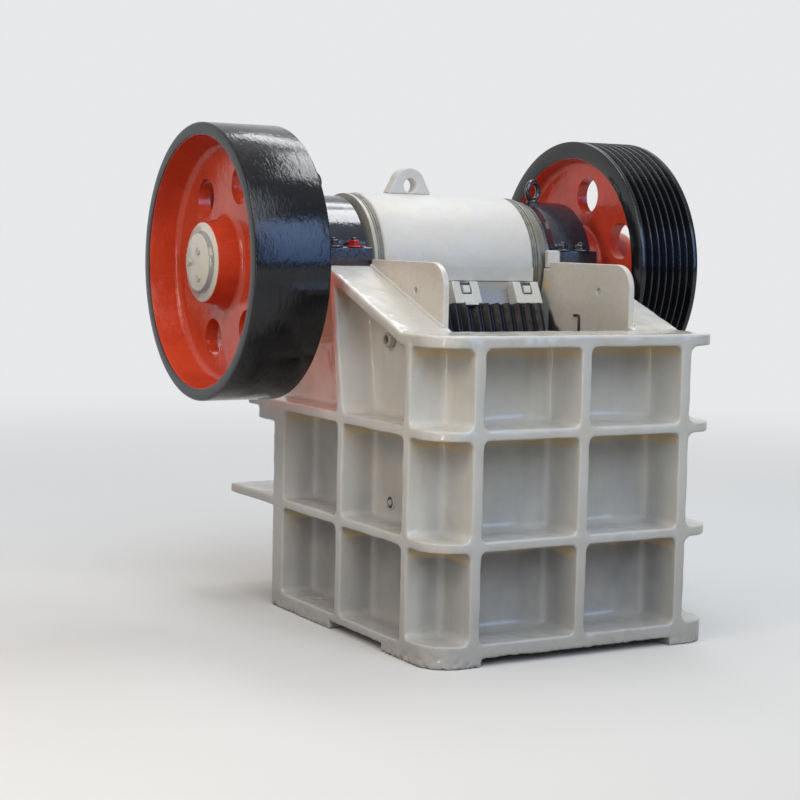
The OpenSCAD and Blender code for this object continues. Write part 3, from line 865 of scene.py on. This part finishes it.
FEED_FRONT = 0.264 - MID_Y
FEED_TOP = SHAFT_Z + 0.022
FEED_T = 0.020
FEED_FOOT = 0.945
FEED_PROUD = 0.0012
BEADS = 46
BEAD = [(-0.007, 0.0), (-0.005, 0.0068), (0.0, 0.0085), (0.005, 0.0068), (0.007, 0.0)]
for side, word in ((-1, "left"), (1, "right")):
    outline = rounded([(FEED_FRONT, FEED_FOOT), (SEAT_START, FEED_FOOT), (SEAT_START, FEED_TOP),
                       (FEED_FRONT, FEED_TOP)], [0, 0, 0.006, 0.080], 12)
    x0, x1 = sorted((side * (WALL_IN - FEED_PROUD), side * (WALL_IN + FEED_T)))
    hole = prism(circle(0.440 - MID_Y, 1.134, 0.011, 24), "x", x0 - 0.02, x1 + 0.02)
    solid(f"feed_plate_{word}", prism(outline, "x", x0, x1), CREAM_FEED, "frame", "cream_paint",
          f"feed_side_{word}", edge=0.0045, cutters=[hole])
    bead = Solids()
    for i in range(BEADS):
        y = FEED_FRONT + 0.004 + (SEAT_START - FEED_FRONT - 0.008) * i / (BEADS - 1)
        bead.add(*turned(BEAD, (side * (WALL_IN + FEED_T), y, flange_top(y) + 0.001), (0, 0.934, 0.357), 10))
    solid(f"feed_plate_weld_{word}", bead, CREAM_CLEAN, "frame", "cream_paint", edge=0)

block = box(WALL_IN, 0.402, SHAFT_Y - EAR_HALF, 0.770 - MID_Y, SHAFT_Z, SHAFT_Z + EAR_H)
solid("seat_block", block, CREAM_CLEAN, "frame", "cream_paint", "seat_block", edge=0.005)

hook_path = [(0.345, 0.541 - MID_Y, 0.985), (0.345, 0.543 - MID_Y, 1.048), (0.345, 0.573 - MID_Y, 1.046)]
solid("cheek_hook", tube(bent(hook_path, 0.009), 0.0045), FORGED, "frame", "cast_steel", edge=0)

SUNK = -0.004
LEFTWARDS = (-1, 0, 0)
plug_at = (-WALL_OUT, 0.503 - MID_Y, 0.4415)
plug_rim = turned(rounded(oblong(SUNK, 0.0030, 0.0190, 0.0245), 0.0014), plug_at, LEFTWARDS, 40, closed=True)
plug_knob = turned(rounded([(SUNK, 0.0), (0.0060, 0.0), (0.0060, 0.0095), (SUNK, 0.0115)], [0, 0, 0.002, 0]),
                   plug_at, LEFTWARDS)
solid("wall_plug", Solids(plug_rim, plug_knob), CREAM_GREY, "frame", "cream_paint", edge=0)
# Painted shade: a dark steel disc fills the plug's groove, standing for the shade in it.
solid("wall_plug_groove_shade", turned(oblong(SUNK, 0.0012, 0.0, 0.0200), plug_at, LEFTWARDS, 40), FORGED, "frame",
      "cast_steel", edge=0)
boss_at = (-WALL_OUT, 0.512 - MID_Y, 0.972)
boss = rounded([(SUNK, 0.0150), (0.0260, 0.0150), (0.0260, 0.0235), (SUNK, 0.0260)], [0, 0.002, 0.004, 0])
solid("wall_boss", turned(boss, boss_at, LEFTWARDS, 40, closed=True), CREAM_GREY, "frame", "cream_paint",
      edge=0)
solid("wall_boss_bore", turned(oblong(SUNK, 0.0120, 0.0, 0.0155), boss_at, LEFTWARDS), FORGED, "frame",
      "cast_steel", edge=0)

JAW_HALF = 0.300
JAW_T = 0.068
PLATE_L = 0.900
RIDGE = 0.020
RIDGES = 14


def ridged_plate(low, high):
    """A jaw plate in its own frame: x across, y out of its face, z along its ridges."""
    pitch = 2 * JAW_HALF / RIDGES
    land = pitch * 0.09
    points, radii = [(JAW_HALF, 0.0), (-JAW_HALF, 0.0)], [0, 0]
    for i in range(RIDGES):
        x = -JAW_HALF + i * pitch
        points += [(x, JAW_T - RIDGE), (x + pitch / 2 - land, JAW_T), (x + pitch / 2 + land, JAW_T)]
        radii += [0.004 if i else 0, 0.005, 0.005]
    points.append((JAW_HALF, JAW_T - RIDGE))
    radii.append(0)
    return prism(rounded(points, radii, 4), "z", low, high)


def in_jaw_frame(shape):
    verts = [PLATE_TOP + Vector((v[0], 0, 0)) + FACE_OUT * v[1] + FACE_UP * v[2] for v in shape[0]]
    return verts, shape[1]


solid("swing_jaw_plate", in_jaw_frame(ridged_plate(-PLATE_L, 0.0)), JAW, "swing_jaw", "jaw_steel",
      "swing_jaw_plate")
verts, faces = ridged_plate(0.150, FRAME_H - 0.012)
solid("fixed_jaw_plate", ([(v[0], v[1] + 0.250 - MID_Y, v[2]) for v in verts], faces), JAW, "frame",
      "jaw_steel", "fixed_jaw_plate")

PLATE_FOOT = PLATE_TOP - FACE_UP * PLATE_L
CHEEK_TOP = 0.940
CHEEK_IN = 0.312
COUNTERBORE = 0.332
CHEEK_REAR = PLATE_TOP.y - (PLATE_TOP.z - CHEEK_TOP) * math.tan(LEAN) - 0.012
cheek = rounded([(0.330 - MID_Y, 0.210), (PLATE_FOOT.y - 0.012, 0.210), (CHEEK_REAR, CHEEK_TOP),
                 (0.330 - MID_Y, CHEEK_TOP)], 0.006)
cheeks = Solids()
cheek_holes = []
cheek_bolts = Solids()
for side in (-1, 1):
    x0, x1 = sorted((side * CHEEK_IN, side * WALL_IN))
    cheeks.add(*prism(cheek, "x", x0, x1))
    for y, z in ((0.42 - MID_Y, 0.85), (0.58 - MID_Y, 0.85), (0.39 - MID_Y, 0.42)):
        cheek_holes.append(prism(circle(y, z, 0.026, 24), "x", *sorted((side * 0.30, side * COUNTERBORE))))
        bolt_head(cheek_bolts, (side * COUNTERBORE, y, z), (-side, 0, 0), 0.030, 0.014, washer=False)
solid("cheek_plates", cheeks, JAW, "frame", "jaw_steel", "cheek_plates", cutters=cheek_holes)
solid("cheek_bolts", cheek_bolts, FORGED, "frame", "jaw_steel", edge=0.0012, segments=2)


def bearing_section(lower):
    """Outline of a bearing housing's half, in (y, z)."""
    r, bore = HOUSING_R, HOUSING_BORE
    if lower:
        return arc(SHAFT_Y, SHAFT_Z, r, 180, 360, 40) + arc(SHAFT_Y, SHAFT_Z, bore, 360, 180, 24)
    meet = math.degrees(math.asin(EAR_H / r))
    ear = [(SHAFT_Y + EAR_HALF, SHAFT_Z), (SHAFT_Y + EAR_HALF, SHAFT_Z + EAR_H)]
    far = [(SHAFT_Y - EAR_HALF, SHAFT_Z + EAR_H), (SHAFT_Y - EAR_HALF, SHAFT_Z)]
    crown = arc(SHAFT_Y, SHAFT_Z, r, meet, 180 - meet, 44)
    return ear + crown + far + arc(SHAFT_Y, SHAFT_Z, bore, 180, 0, 24)


COLLAR_END = 0.3712
COVER_FROM = HOUSING_END - 0.014
COVER_BOLT_R = 0.192
STUD_Y = 0.249
MARKED = (-1, 0.423, -1)
for side, word, inner in ((-1, "left", 0.360), (1, "right", 0.403)):
    base = prism(bearing_section(True), "x", inner, HOUSING_END)
    solid(f"bearing_base_{word}", on_side(side, base), BLACK_SMOOTH, "frame", "black_paint",
          f"bearing_base_{word}")
    cap = prism(bearing_section(False), "x", inner, HOUSING_END - 0.012)
    solid(f"bearing_cap_{word}", on_side(side, cap), BLACK_SMOOTH, "frame", "black_paint",
          f"bearing_cap_{word}", edge=0.005)
    cover_ring = lathe(rounded(pin(COVER_FROM, HOUSING_END - 0.001, 0.214, 0.086), 0.003))
    cover = Solids(on_side(side, cover_ring))
    for y, z in arc(SHAFT_Y, SHAFT_Z, COVER_BOLT_R, 22.5, 337.5, 7):
        bolt_head(cover, (side * COVER_FROM, y, z), (side, 0, 0), 0.022, 0.008, washer=False)
    solid(f"bearing_cover_{word}", cover, BLACK_SMOOTH, "frame", "black_paint", edge=0.0015, segments=2)
    if inner > COLLAR_END:
        collar = rounded(oblong(COLLAR_END, inner + 0.004, HOUSING_BORE, HOUSING_R), [0.001, 0, 0, 0.004])
        solid(f"bearing_collar_{word}", on_side(side, lathe(collar, 128)), BLACK_SMOOTH, "frame",
              "black_paint", edge=0)
        seal = lathe(rounded(oblong(0.3398, COLLAR_END - 0.0003, 0.100, 0.2335), 0.0015), 128)
        solid(f"seal_ring_fixed_{word}", on_side(side, seal), CREAM_SEAL, "frame", "cream_paint", edge=0)
    studs, marked = Solids(), Solids()
    for x in (0.423, 0.501):
        for y in (-1, 1):
            place = (side * x, SHAFT_Y + y * STUD_Y, SHAFT_Z + EAR_H)
            shape = marked if (side, x, y) == MARKED else studs
            bolt_head(shape, place, (0, 0, 1), 0.036, 0.019, turn=0.3 * x)
            studs.add(*turned([(0, 0), (0, 0.010), (0.029, 0.010), (0.031, 0.008), (0.031, 0)],
                              place, (0, 0, 1), 20))
    solid(f"cap_bolts_{word}", studs, BLACK_SMOOTH, "frame", "black_paint", edge=0.0015, segments=2)
    if marked.verts:
        solid("marked_nut", marked, RED_MARK, "frame", "red_paint", edge=0.0015, segments=2)

eyes = Solids()
for side in (-1, 1):
    x, top = side * 0.455, SHAFT_Z + HOUSING_R
    foot_profile = [(-0.002, 0), (-0.002, 0.021), (0.005, 0.021), (0.008, 0.018), (0.009, 0)]
    eyes.add(*turned(foot_profile, (x, SHAFT_Y, top), (0, 0, 1), 28))
    eyes.add(*turned(circle(0, 0.0335, 0.0098, 16), (x, SHAFT_Y, top + 0.0405), (-0.337, 0.941, 0), 48,
                     closed=True))
solid("eye_bolts", eyes, BLACK_SMOOTH, "frame", "black_paint", "eye_bolts", edge=0)

# Swing jaw

BARREL_R = 0.250
BARREL_HALF = 0.300
RING_END = 0.338
BORE = 0.118
barrel = rounded(oblong(-BARREL_HALF, BARREL_HALF, BORE, BARREL_R), [0.003, 0.003, 0.009, 0.009])
solid("pitman_barrel", lathe(barrel, 160), CREAM_CLEAN, "swing_jaw", "cream_paint", edge=0)

inner_rings, outer_rings = Solids(), Solids()
for side in (-1, 1):
    steps = [(BARREL_HALF - 0.002, BORE), (BARREL_HALF - 0.002, 0.241), (BARREL_HALF + 0.004, 0.241),
             (BARREL_HALF + 0.004, 0.2445), (BARREL_HALF + 0.011, 0.2445), (BARREL_HALF + 0.011, 0.242),
             (BARREL_HALF + 0.013, 0.242), (BARREL_HALF + 0.013, 0.2445), (BARREL_HALF + 0.022, 0.2445),
             (BARREL_HALF + 0.022, BORE)]
    inner_rings.add(*on_side(side, lathe(rounded(steps, 0.0007, 2), 128)))
    steps = [(BARREL_HALF + 0.020, BORE), (BARREL_HALF + 0.020, 0.238), (BARREL_HALF + 0.024, 0.238),
             (BARREL_HALF + 0.024, 0.246), (RING_END, 0.246), (RING_END, BORE)]
    outer_rings.add(*on_side(side, lathe(rounded(steps, 0.0018, 3), 128)))
solid("seal_rings_inner", inner_rings, RING_STEEL, "swing_jaw", "cream_paint", edge=0)
solid("seal_rings_outer", outer_rings, CREAM_SEAL, "swing_jaw", "cream_paint", edge=0)

ROD_EYE = Vector((0, 0.640 - MID_Y, 0.165))
TOGGLE_FRONT = Vector((0, 0.705 - MID_Y, 0.262))
TOGGLE_REAR = Vector((0, 0.985 - MID_Y, 0.345))
bed = PLATE_TOP - FACE_OUT * 0.0003


def yz(v):
    return (v.y, v.z)


def from_front(*points):
    return [(y / 1000 - MID_Y, z / 1000) for y, z in points]


outline = from_front((765, 1205), (765, 1158))
outline += [yz(bed + FACE_UP * 0.088), yz(bed - FACE_UP * PLATE_L)]
outline += [(PLATE_FOOT.y - 0.008, PLATE_FOOT.z - 0.030)]
outline += from_front((520, 125), (665, 125), (690, 200), (705, 218), (705, 306), (740, 380), (860, 640),
                      (1060, 960), (1140, 1060), (1110, 1205))
outline_r = [0, 0, 0, 0, 0.006, 0.03, 0.03, 0.03, 0.004, 0.004, 0.03, 0.12, 0.15, 0.02, 0.02]
body = prism(rounded(outline, outline_r, 6), "x", -JAW_HALF, JAW_HALF)
pin_hole = prism(circle(*yz(ROD_EYE), 0.0145, 24), "x", -0.4, 0.4)
seat = prism(circle(*yz(TOGGLE_FRONT), 0.0305, 45), "x", -0.4, 0.4)
rod_slot = box(-0.026, 0.026, 0.580 - MID_Y, 0.760 - MID_Y, 0.100, 0.217)
bore = lathe(pin(-0.4, 0.4, BORE + 0.002), 64, closed=False)
solid("pitman_body", body, CREAM_SHADED, "swing_jaw", "cream_paint", "pitman", edge=0.006,
      cutters=[pin_hole, seat, rod_slot, bore])

lug = cast("lifting_lug", ["lifting_lug"], None, 0.003, 7, 16000)
dress(lug, CREAM_CLEAN, "swing_jaw", "cream_paint", "lifting_lug")

wedges = cast("jaw_wedges", ["jaw_wedges"], None, 0.0024, 2, 26000)
dress(wedges, CREAM_WEDGE, "swing_jaw", "cream_paint", "jaw_wedges")
bolts = Solids()
for x in (-WEDGE_PITCH, 0.0, WEDGE_PITCH):
    place = PLATE_TOP + Vector((x, 0, 0)) + FACE_OUT * 0.029 + FACE_UP * 0.054
    bolt_head(bolts, place, FACE_OUT, 0.0275, 0.023, sides=4, washer=False, turn=math.pi / 4)
solid("wedge_bolts", bolts, CREAM_CLEAN, "swing_jaw", "cream_paint", edge=0.002, segments=3)

tab = prism(rounded(oblong(-0.026, 0.026, 0.050, 0.0725), 0.002), "z", -0.0095, 0.004)
solid("wedge_tab", in_jaw_frame(tab), CREAM_WEDGE, "swing_jaw", "cream_paint", edge=0.0015, segments=2)

# Toggle and tension rod

run = TOGGLE_REAR - TOGGLE_FRONT
toggle_length = math.hypot(run.y, run.z)
tilt = math.atan2(run.z, run.y)
TOGGLE_R = 0.030
shape = arc(0, 0, TOGGLE_R, 90, 270, 24) + [(0.040, -0.021), (toggle_length - 0.040, -0.021)]
shape += arc(toggle_length, 0, TOGGLE_R, -90, 90, 24) + [(toggle_length - 0.040, 0.021), (0.040, 0.021)]
toggle = [(TOGGLE_FRONT.y + a * math.cos(tilt) - b * math.sin(tilt),
           TOGGLE_FRONT.z + a * math.sin(tilt) + b * math.cos(tilt)) for a, b in shape]
solid("toggle_plate", prism(toggle, "x", -0.240, 0.240), FORGED, "toggle", "cast_steel", "toggle_plate",
      edge=0.004)

block = prism(rounded(oblong(TOGGLE_REAR.y, REAR_WALL, 0.255, 0.435), 0.008), "x", -0.260, 0.260)
socket = prism(circle(*yz(TOGGLE_REAR), 0.0303, 45), "x", -0.3, 0.3)
solid("adjusting_block", block, FORGED, "frame", "cast_steel", "adjusting_block", edge=0.004,
      cutters=[socket])

SLOPE = math.radians(8)
ALONG = Vector((0, math.cos(SLOPE), math.sin(SLOPE)))
ROD_R = 0.016
boss_end = (REAR_FACE - ROD_EYE.y) / math.cos(SLOPE) + 0.022
ROCKER = boss_end + 0.010
SPRING_FROM = ROCKER + 0.036
SPRING_L = 0.220
rod_length = (MID_Y - ROD_EYE.y - ROD_R * math.sin(SLOPE)) / math.cos(SLOPE)

rod_pin = lathe(rounded(pin(-0.070, 0.070, 0.0138), [0, 0.002, 0.002, 0]), 32, yz(ROD_EYE), closed=False)
solid("rod_pin", rod_pin, STEEL, "swing_jaw", "bright_steel", "rod_pin", edge=0)
thread = SPRING_FROM + SPRING_L + 0.010
profile = [(0, 0), (0, ROD_R), (thread - 0.02, ROD_R)]
while thread < rod_length - 0.006:
    profile += [(thread, ROD_R - 0.0017), (thread + 0.002, ROD_R - 0.0002)]
    thread += 0.004
profile += [(rod_length - 0.003, ROD_R - 0.001), (rod_length, ROD_R - 0.004), (rod_length, 0)]
rocker = rounded(pin(-0.044, 0.044, 0.030), [0, 0.004, 0.004, 0])
rod = Solids(turned(profile, ROD_EYE, ALONG, 28), turned(rocker, ROD_EYE + ALONG * ROCKER, (1, 0, 0), 48))
for place, r, depth, sides in ((SPRING_FROM - 0.014, 0.044, 0.014, 48),
                               (SPRING_FROM + SPRING_L, 0.044, 0.014, 48),
                               (SPRING_FROM + SPRING_L + 0.014, 0.027, 0.030, 6)):
    washer = rounded(pin(0, depth, r), [0, 0.002, 0.003, 0], 3)
    rod.add(*turned(washer, ROD_EYE + ALONG * place, ALONG, sides))
solid("tension_rod", rod, STEEL, "tension_rod", "bright_steel", edge=0)
eye = prism(circle(*yz(ROD_EYE), 0.036, 60), "x", -0.020, 0.020)
eye_hole = prism(circle(*yz(ROD_EYE), 0.018, 40), "x", -0.03, 0.03)
solid("tension_rod_eye", eye, STEEL, "tension_rod", "bright_steel", "tension_rod", edge=0.002,
      cutters=[eye_hole])


def coil(radius, wire, length, turns, around=12, per_turn=36):
    """A spring about the x axis with its end turns closed."""
    rings = []
    middle = (length - 6 * wire) / (turns - 2)
    for i in range(turns * per_turn + 1):
        t = i / per_turn
        if t < 1:
            along = 2 * wire * t
        elif t < turns - 1:
            along = 2 * wire + middle * (t - 1)
        else:
            along = length - 4 * wire + 2 * wire * (t - turns + 1)
        a = 2 * math.pi * t
        rings.append([])
        for j in range(around):
            b = 2 * math.pi * j / around
            r = radius + wire * math.cos(b)
            rings[-1].append((wire + along + wire * math.sin(b) * 0.98, r * math.cos(a), r * math.sin(a)))
    return strand(rings)


spring = placed(coil(0.033, 0.0065, SPRING_L, 9), ROD_EYE + ALONG * SPRING_FROM, ALONG)
solid("tension_spring", spring, SPRING, "tension_rod", "spring_steel", "tension_spring", edge=0)

# Shaft and wheels

THROW = 0.012
journal = lathe(rounded(pin(-0.841, 0.841, SHAFT_R), [0, 0.003, 0.003, 0]), 64, closed=False)
eccentric = lathe(rounded(pin(-0.220, 0.220, 0.088), [0, 0.003, 0.003, 0]), 64, (SHAFT_Y + THROW, SHAFT_Z),
                  closed=False)
solid("eccentric_shaft", Solids(journal, eccentric), STEEL, "rotor", "bright_steel", "eccentric_shaft",
      edge=0)

LIP_R = 0.424
HUB_R = 0.134
spacer = lathe(rounded(pin(0.5765, 0.6375, 0.112, 0.0805), 0.003), 64)
solid("shaft_collars", Solids(reflect(spacer), spacer), BLACK_SMOOTH, "rotor", "bright_steel", edge=0)


def window_cutters(x0, x1, centre_r, first):
    """The six round windows of a wheel's web."""
    centres = arc(SHAFT_Y, SHAFT_Z, centre_r, first, first + 300, 5)
    return [prism(circle(y, z, 0.066, 48), "x", x0, x1) for y, z in centres]


def hub_face(face_x, cap_x, side, bolts):
    """The cream end of a hub with its cover, and the bolts that hold the cover on."""
    profile = [(face_x - 0.010, 0.0), (face_x - 0.010, 0.1325), (face_x - 0.002, 0.1325), (face_x, 0.1305),
               (face_x, 0.101), (cap_x - 0.002, 0.099), (cap_x, 0.096), (cap_x, 0.0)]
    shape = lathe([(side * x, r) for x, r in profile], closed=False)
    heads = Solids()
    for dy, dz in bolts:
        place = (side * cap_x, SHAFT_Y + dy, SHAFT_Z + dz)
        bolt_head(heads, place, (side, 0, 0), 0.025, 0.0066, washer=False)
    return shape, heads


HUB_BOLTS = [(-0.008, 0.037), (0.067, -0.001), (-0.014, -0.053)]
HUB_BORE = 0.09
COVER_END = 0.8790
fly_rim = rounded(oblong(-FLYWHEEL_OUT, -WHEEL_IN, LIP_R, WHEEL_R), [0.002, 0.002, 0.006, 0.007], 4)
solid("flywheel_rim", lathe(fly_rim, 192), BLACK, "rotor", "black_paint", "flywheel_rim", edge=0)
fly_web = [(-0.879, 0.4255), (-0.879, 0.422), (-0.774, 0.404), (-0.774, 0.150), (-0.8615, HUB_R),
           (-0.8615, HUB_BORE), (-0.6365, HUB_BORE), (-0.6365, HUB_R), (-0.729, 0.146), (-0.729, 0.404),
           (-0.618, 0.422), (-0.618, 0.4255)]
fly_r = [0, 0.002, 0.026, 0.024, 0.003, 0, 0, 0.003, 0.022, 0.026, 0.002, 0]
solid("flywheel_web", lathe(rounded(fly_web, fly_r, 7), 128), ORANGE, "rotor", "orange_paint", "flywheel_web",
      edge=0.009, cutters=window_cutters(-0.85, -0.65, 0.278, 51), segments=4)
shape, heads = hub_face(0.8635, COVER_END, -1, HUB_BOLTS)
solid("flywheel_hub", shape, CREAM_HUB, "rotor", "cream_paint", "flywheel_hub", edge=0)
solid("flywheel_hub_bolts", heads, CREAM_GREY, "rotor", "cream_paint", edge=0.0012, segments=2)

GROOVES = 7
PITCH = 0.031
groove_rim, groove_rr = [(WHEEL_IN, 0.402), (WHEEL_IN, WHEEL_R)], [0.002, 0.004]
first = WHEEL_IN + (0.250 - (GROOVES - 1) * PITCH) / 2
for i in range(GROOVES):
    x = first + i * PITCH
    groove_rim += [(x - 0.013, WHEEL_R), (x - 0.006, WHEEL_R - 0.024), (x + 0.006, WHEEL_R - 0.024),
                   (x + 0.013, WHEEL_R)]
    groove_rr += [0.0015, 0.002, 0.002, 0.0015]
groove_rim += [(PULLEY_OUT, WHEEL_R), (PULLEY_OUT, 0.402)]
groove_rr += [0.004, 0.002]
solid("pulley_rim", lathe(rounded(groove_rim, groove_rr, 2), 176), BLACK_GROOVED, "rotor", "black_paint",
      "pulley_rim", edge=0)
pulley_web = [(0.618, 0.4035), (0.618, 0.400), (0.675, 0.392), (0.675, 0.150), (0.6365, HUB_R),
              (0.6365, HUB_BORE), (0.8445, HUB_BORE), (0.8445, HUB_R), (0.720, 0.150), (0.720, 0.386),
              (0.862, 0.400), (0.862, 0.4035)]
pulley_r = [0, 0.002, 0.022, 0.016, 0.003, 0, 0, 0.003, 0.022, 0.024, 0.002, 0]
solid("pulley_web", lathe(rounded(pulley_web, pulley_r, 7), 128), RED, "rotor", "red_paint", "pulley_web",
      edge=0.009, cutters=window_cutters(0.64, 0.76, 0.268, 38), segments=4)
shape, heads = hub_face(0.853, COVER_END, 1, HUB_BOLTS)
solid("pulley_hub", shape, CREAM_HUB, "rotor", "cream_paint", "pulley_hub", edge=0)
solid("pulley_hub_bolts", heads, CREAM_GREY, "rotor", "cream_paint", edge=0.0012, segments=2)

# Light, floor, camera

def area_light(name, place, target, size, power, color=(1, 1, 1), height=None):
    data = bpy.data.lights.new(name, "AREA")
    data.shape = "RECTANGLE"
    data.size = size
    data.size_y = height or size
    data.energy = power
    data.color = color
    lamp = link(bpy.data.objects.new(name, data))
    lamp.location = place
    lamp.visible_camera = False
    lamp.rotation_mode = "QUATERNION"
    lamp.rotation_quaternion = (Vector(target) - Vector(place)).to_track_quat("-Z", "Y")
    return lamp


class Sky(Graph):
    """The world's node tree, with the same short ways to add nodes."""

    def __init__(self, world):
        self.tree = world.node_tree
        self.tree.nodes.clear()
        self.coords = self.tree.nodes.new("ShaderNodeTexCoord").outputs["Generated"]

    def light(self, color, strength):
        node = self.tree.nodes.new("ShaderNodeBackground")
        self.link((*color, 1.0) if isinstance(color, tuple) else color, node.inputs["Color"])
        node.inputs["Strength"].default_value = strength
        return node.outputs[0]

    def either(self, factor, a, b):
        node = self.tree.nodes.new("ShaderNodeMixShader")
        for value, socket in zip((factor, a, b), node.inputs):
            self.tree.links.new(value, socket)
        return node.outputs[0]


BACKDROP = (0.80, 0.81, 0.82)


def set_world():
    """A pale backdrop, soft light that is cool from the front and warm elsewhere, a tall cool window."""
    world = bpy.data.worlds.new("studio")
    bpy.context.scene.world = world
    world.use_nodes = True
    g = Sky(world)
    x, y, z = g.parts(g.coords)[:3]
    height = g.spread(z, 0.0, 0.9)
    warm = g.mix(height, (0.19, 0.18, 0.165), (1.10, 1.07, 1.00))
    cool = g.mix(height, (0.29, 0.33, 0.40), (0.88, 0.97, 1.12))
    soft = g.mix(g.spread(y, 0.3, -0.8), warm, cool)
    facing = g.math("DIVIDE", g.minus(g.times(x, 0.496), g.times(y, 0.868)), g.length(x, y))
    pane = g.times(g.spread(facing, 0.955, 0.985), g.times(g.spread(z, 0.0, 0.06), g.spread(z, 0.56, 0.49)))
    window = g.mix(g.spread(z, 0.02, 0.5), (0.95, 1.70, 3.40), (2.10, 3.10, 5.40))
    rays = g.tree.nodes.new("ShaderNodeLightPath").outputs
    shine = g.times(pane, rays["Is Glossy Ray"])
    studio = g.either(shine, g.light(soft, 0.48), g.light(window, 1.0))
    pale = g.light(BACKDROP, 1.0)
    behind = g.times(rays["Is Glossy Ray"], g.spread(y, 0.0, 0.35))
    shown = g.most(rays["Is Camera Ray"], rays["Is Transmission Ray"], behind)
    out = g.tree.nodes.new("ShaderNodeOutputWorld")
    g.tree.links.new(g.either(shown, studio, pale), out.inputs[0])


def set_floor():
    """A pale floor that runs into the backdrop. It throws less light on the part than it shows."""
    floor = make_object("floor", *box(-30, 30, -30, 30, -0.05, -0.0005), smooth=False)
    g = Graph("floor_paint", roughness=0.8)
    x, y = g.place()[:2]
    rays = g.tree.nodes.new("ShaderNodeLightPath").outputs
    seen = g.most(rays["Is Camera Ray"], rays["Is Transmission Ray"], rays["Is Glossy Ray"])
    g.color(g.mix(seen, (0.15, 0.147, 0.143), (0.80, 0.80, 0.80)))
    g.shader.inputs["Specular IOR Level"].default_value = 0.0
    far = g.times(g.spread(g.length(x, y), 1.4, 9.0), seen)
    glow = g.tree.nodes.new("ShaderNodeEmission")
    glow.inputs["Color"].default_value = (*BACKDROP, 1.0)
    blend = g.tree.nodes.new("ShaderNodeMixShader")
    out = g.tree.nodes["Material Output"]
    for value, socket in ((far, blend.inputs[0]), (g.shader.outputs[0], blend.inputs[1]),
                          (glow.outputs[0], blend.inputs[2]), (blend.outputs[0], out.inputs[0])):
        g.tree.links.new(value, socket)
    floor.data.materials.append(g.material)


def set_camera():
    """The photograph's camera: place in metres, turn from +Y to the right, tilt down, roll."""
    yaw, pitch, roll = math.radians(29.80), math.radians(5.255), math.radians(1.278)
    ahead = Vector((math.sin(yaw) * math.cos(pitch), math.cos(yaw) * math.cos(pitch), -math.sin(pitch)))
    right = Vector((math.cos(yaw), -math.sin(yaw), 0))
    up = right.cross(ahead)
    x = right * math.cos(roll) + up * math.sin(roll)
    y = up * math.cos(roll) - right * math.sin(roll)
    data = bpy.data.cameras.new("camera")
    data.sensor_width = 36.0
    focal_pixels, picture_pixels = 1812.16, 800
    data.lens = focal_pixels / picture_pixels * data.sensor_width
    data.clip_start = 0.1
    data.clip_end = 200
    camera = link(bpy.data.objects.new("camera", data))
    facing = Matrix((x, y, -ahead)).transposed().to_4x4()
    camera.matrix_world = Matrix.Translation((-3.2956, -5.3346, 1.3156)) @ facing
    bpy.context.scene.camera = camera


set_world()
set_floor()
set_camera()
sun = bpy.data.lights.new("sky", "SUN")
sun.energy = 1.36
sun.angle = math.radians(50)
sun.color = (0.88, 0.94, 1.0)
sky = link(bpy.data.objects.new("sky", sun))
sky.rotation_mode = "QUATERNION"
sky.rotation_quaternion = Vector((0.10, 0.72, -0.70)).to_track_quat("-Z", "Y")
area_light("overhead", (1.3, 0.1, 4.4), (0, 0.1, 1.2), 1.7, 32, (0.97, 0.98, 1.0), height=0.8)
area_light("overhead_rear", (1.3, 1.8, 4.4), (0, 0.1, 1.2), 1.7, 20, (0.97, 0.98, 1.0), height=0.7)
area_light("left_high", (-3.2, -1.2, 2.9), (-0.2, -0.2, 0.9), 1.2, 30, (1.0, 0.80, 0.58))
area_light("window", (-4.6, -3.3, 1.5), (0, -0.3, 0.8), 0.25, 34, (1.0, 0.97, 0.92), height=2.8)
bounce = area_light("web_bounce", (-0.600, SHAFT_Y - 0.06, 1.03), (0, SHAFT_Y - 0.06, 1.03), 0.56, 0.5,
                    (1.0, 0.26, 0.14))
bounce.visible_glossy = False
bpy.context.scene.view_settings.view_transform = "Standard"
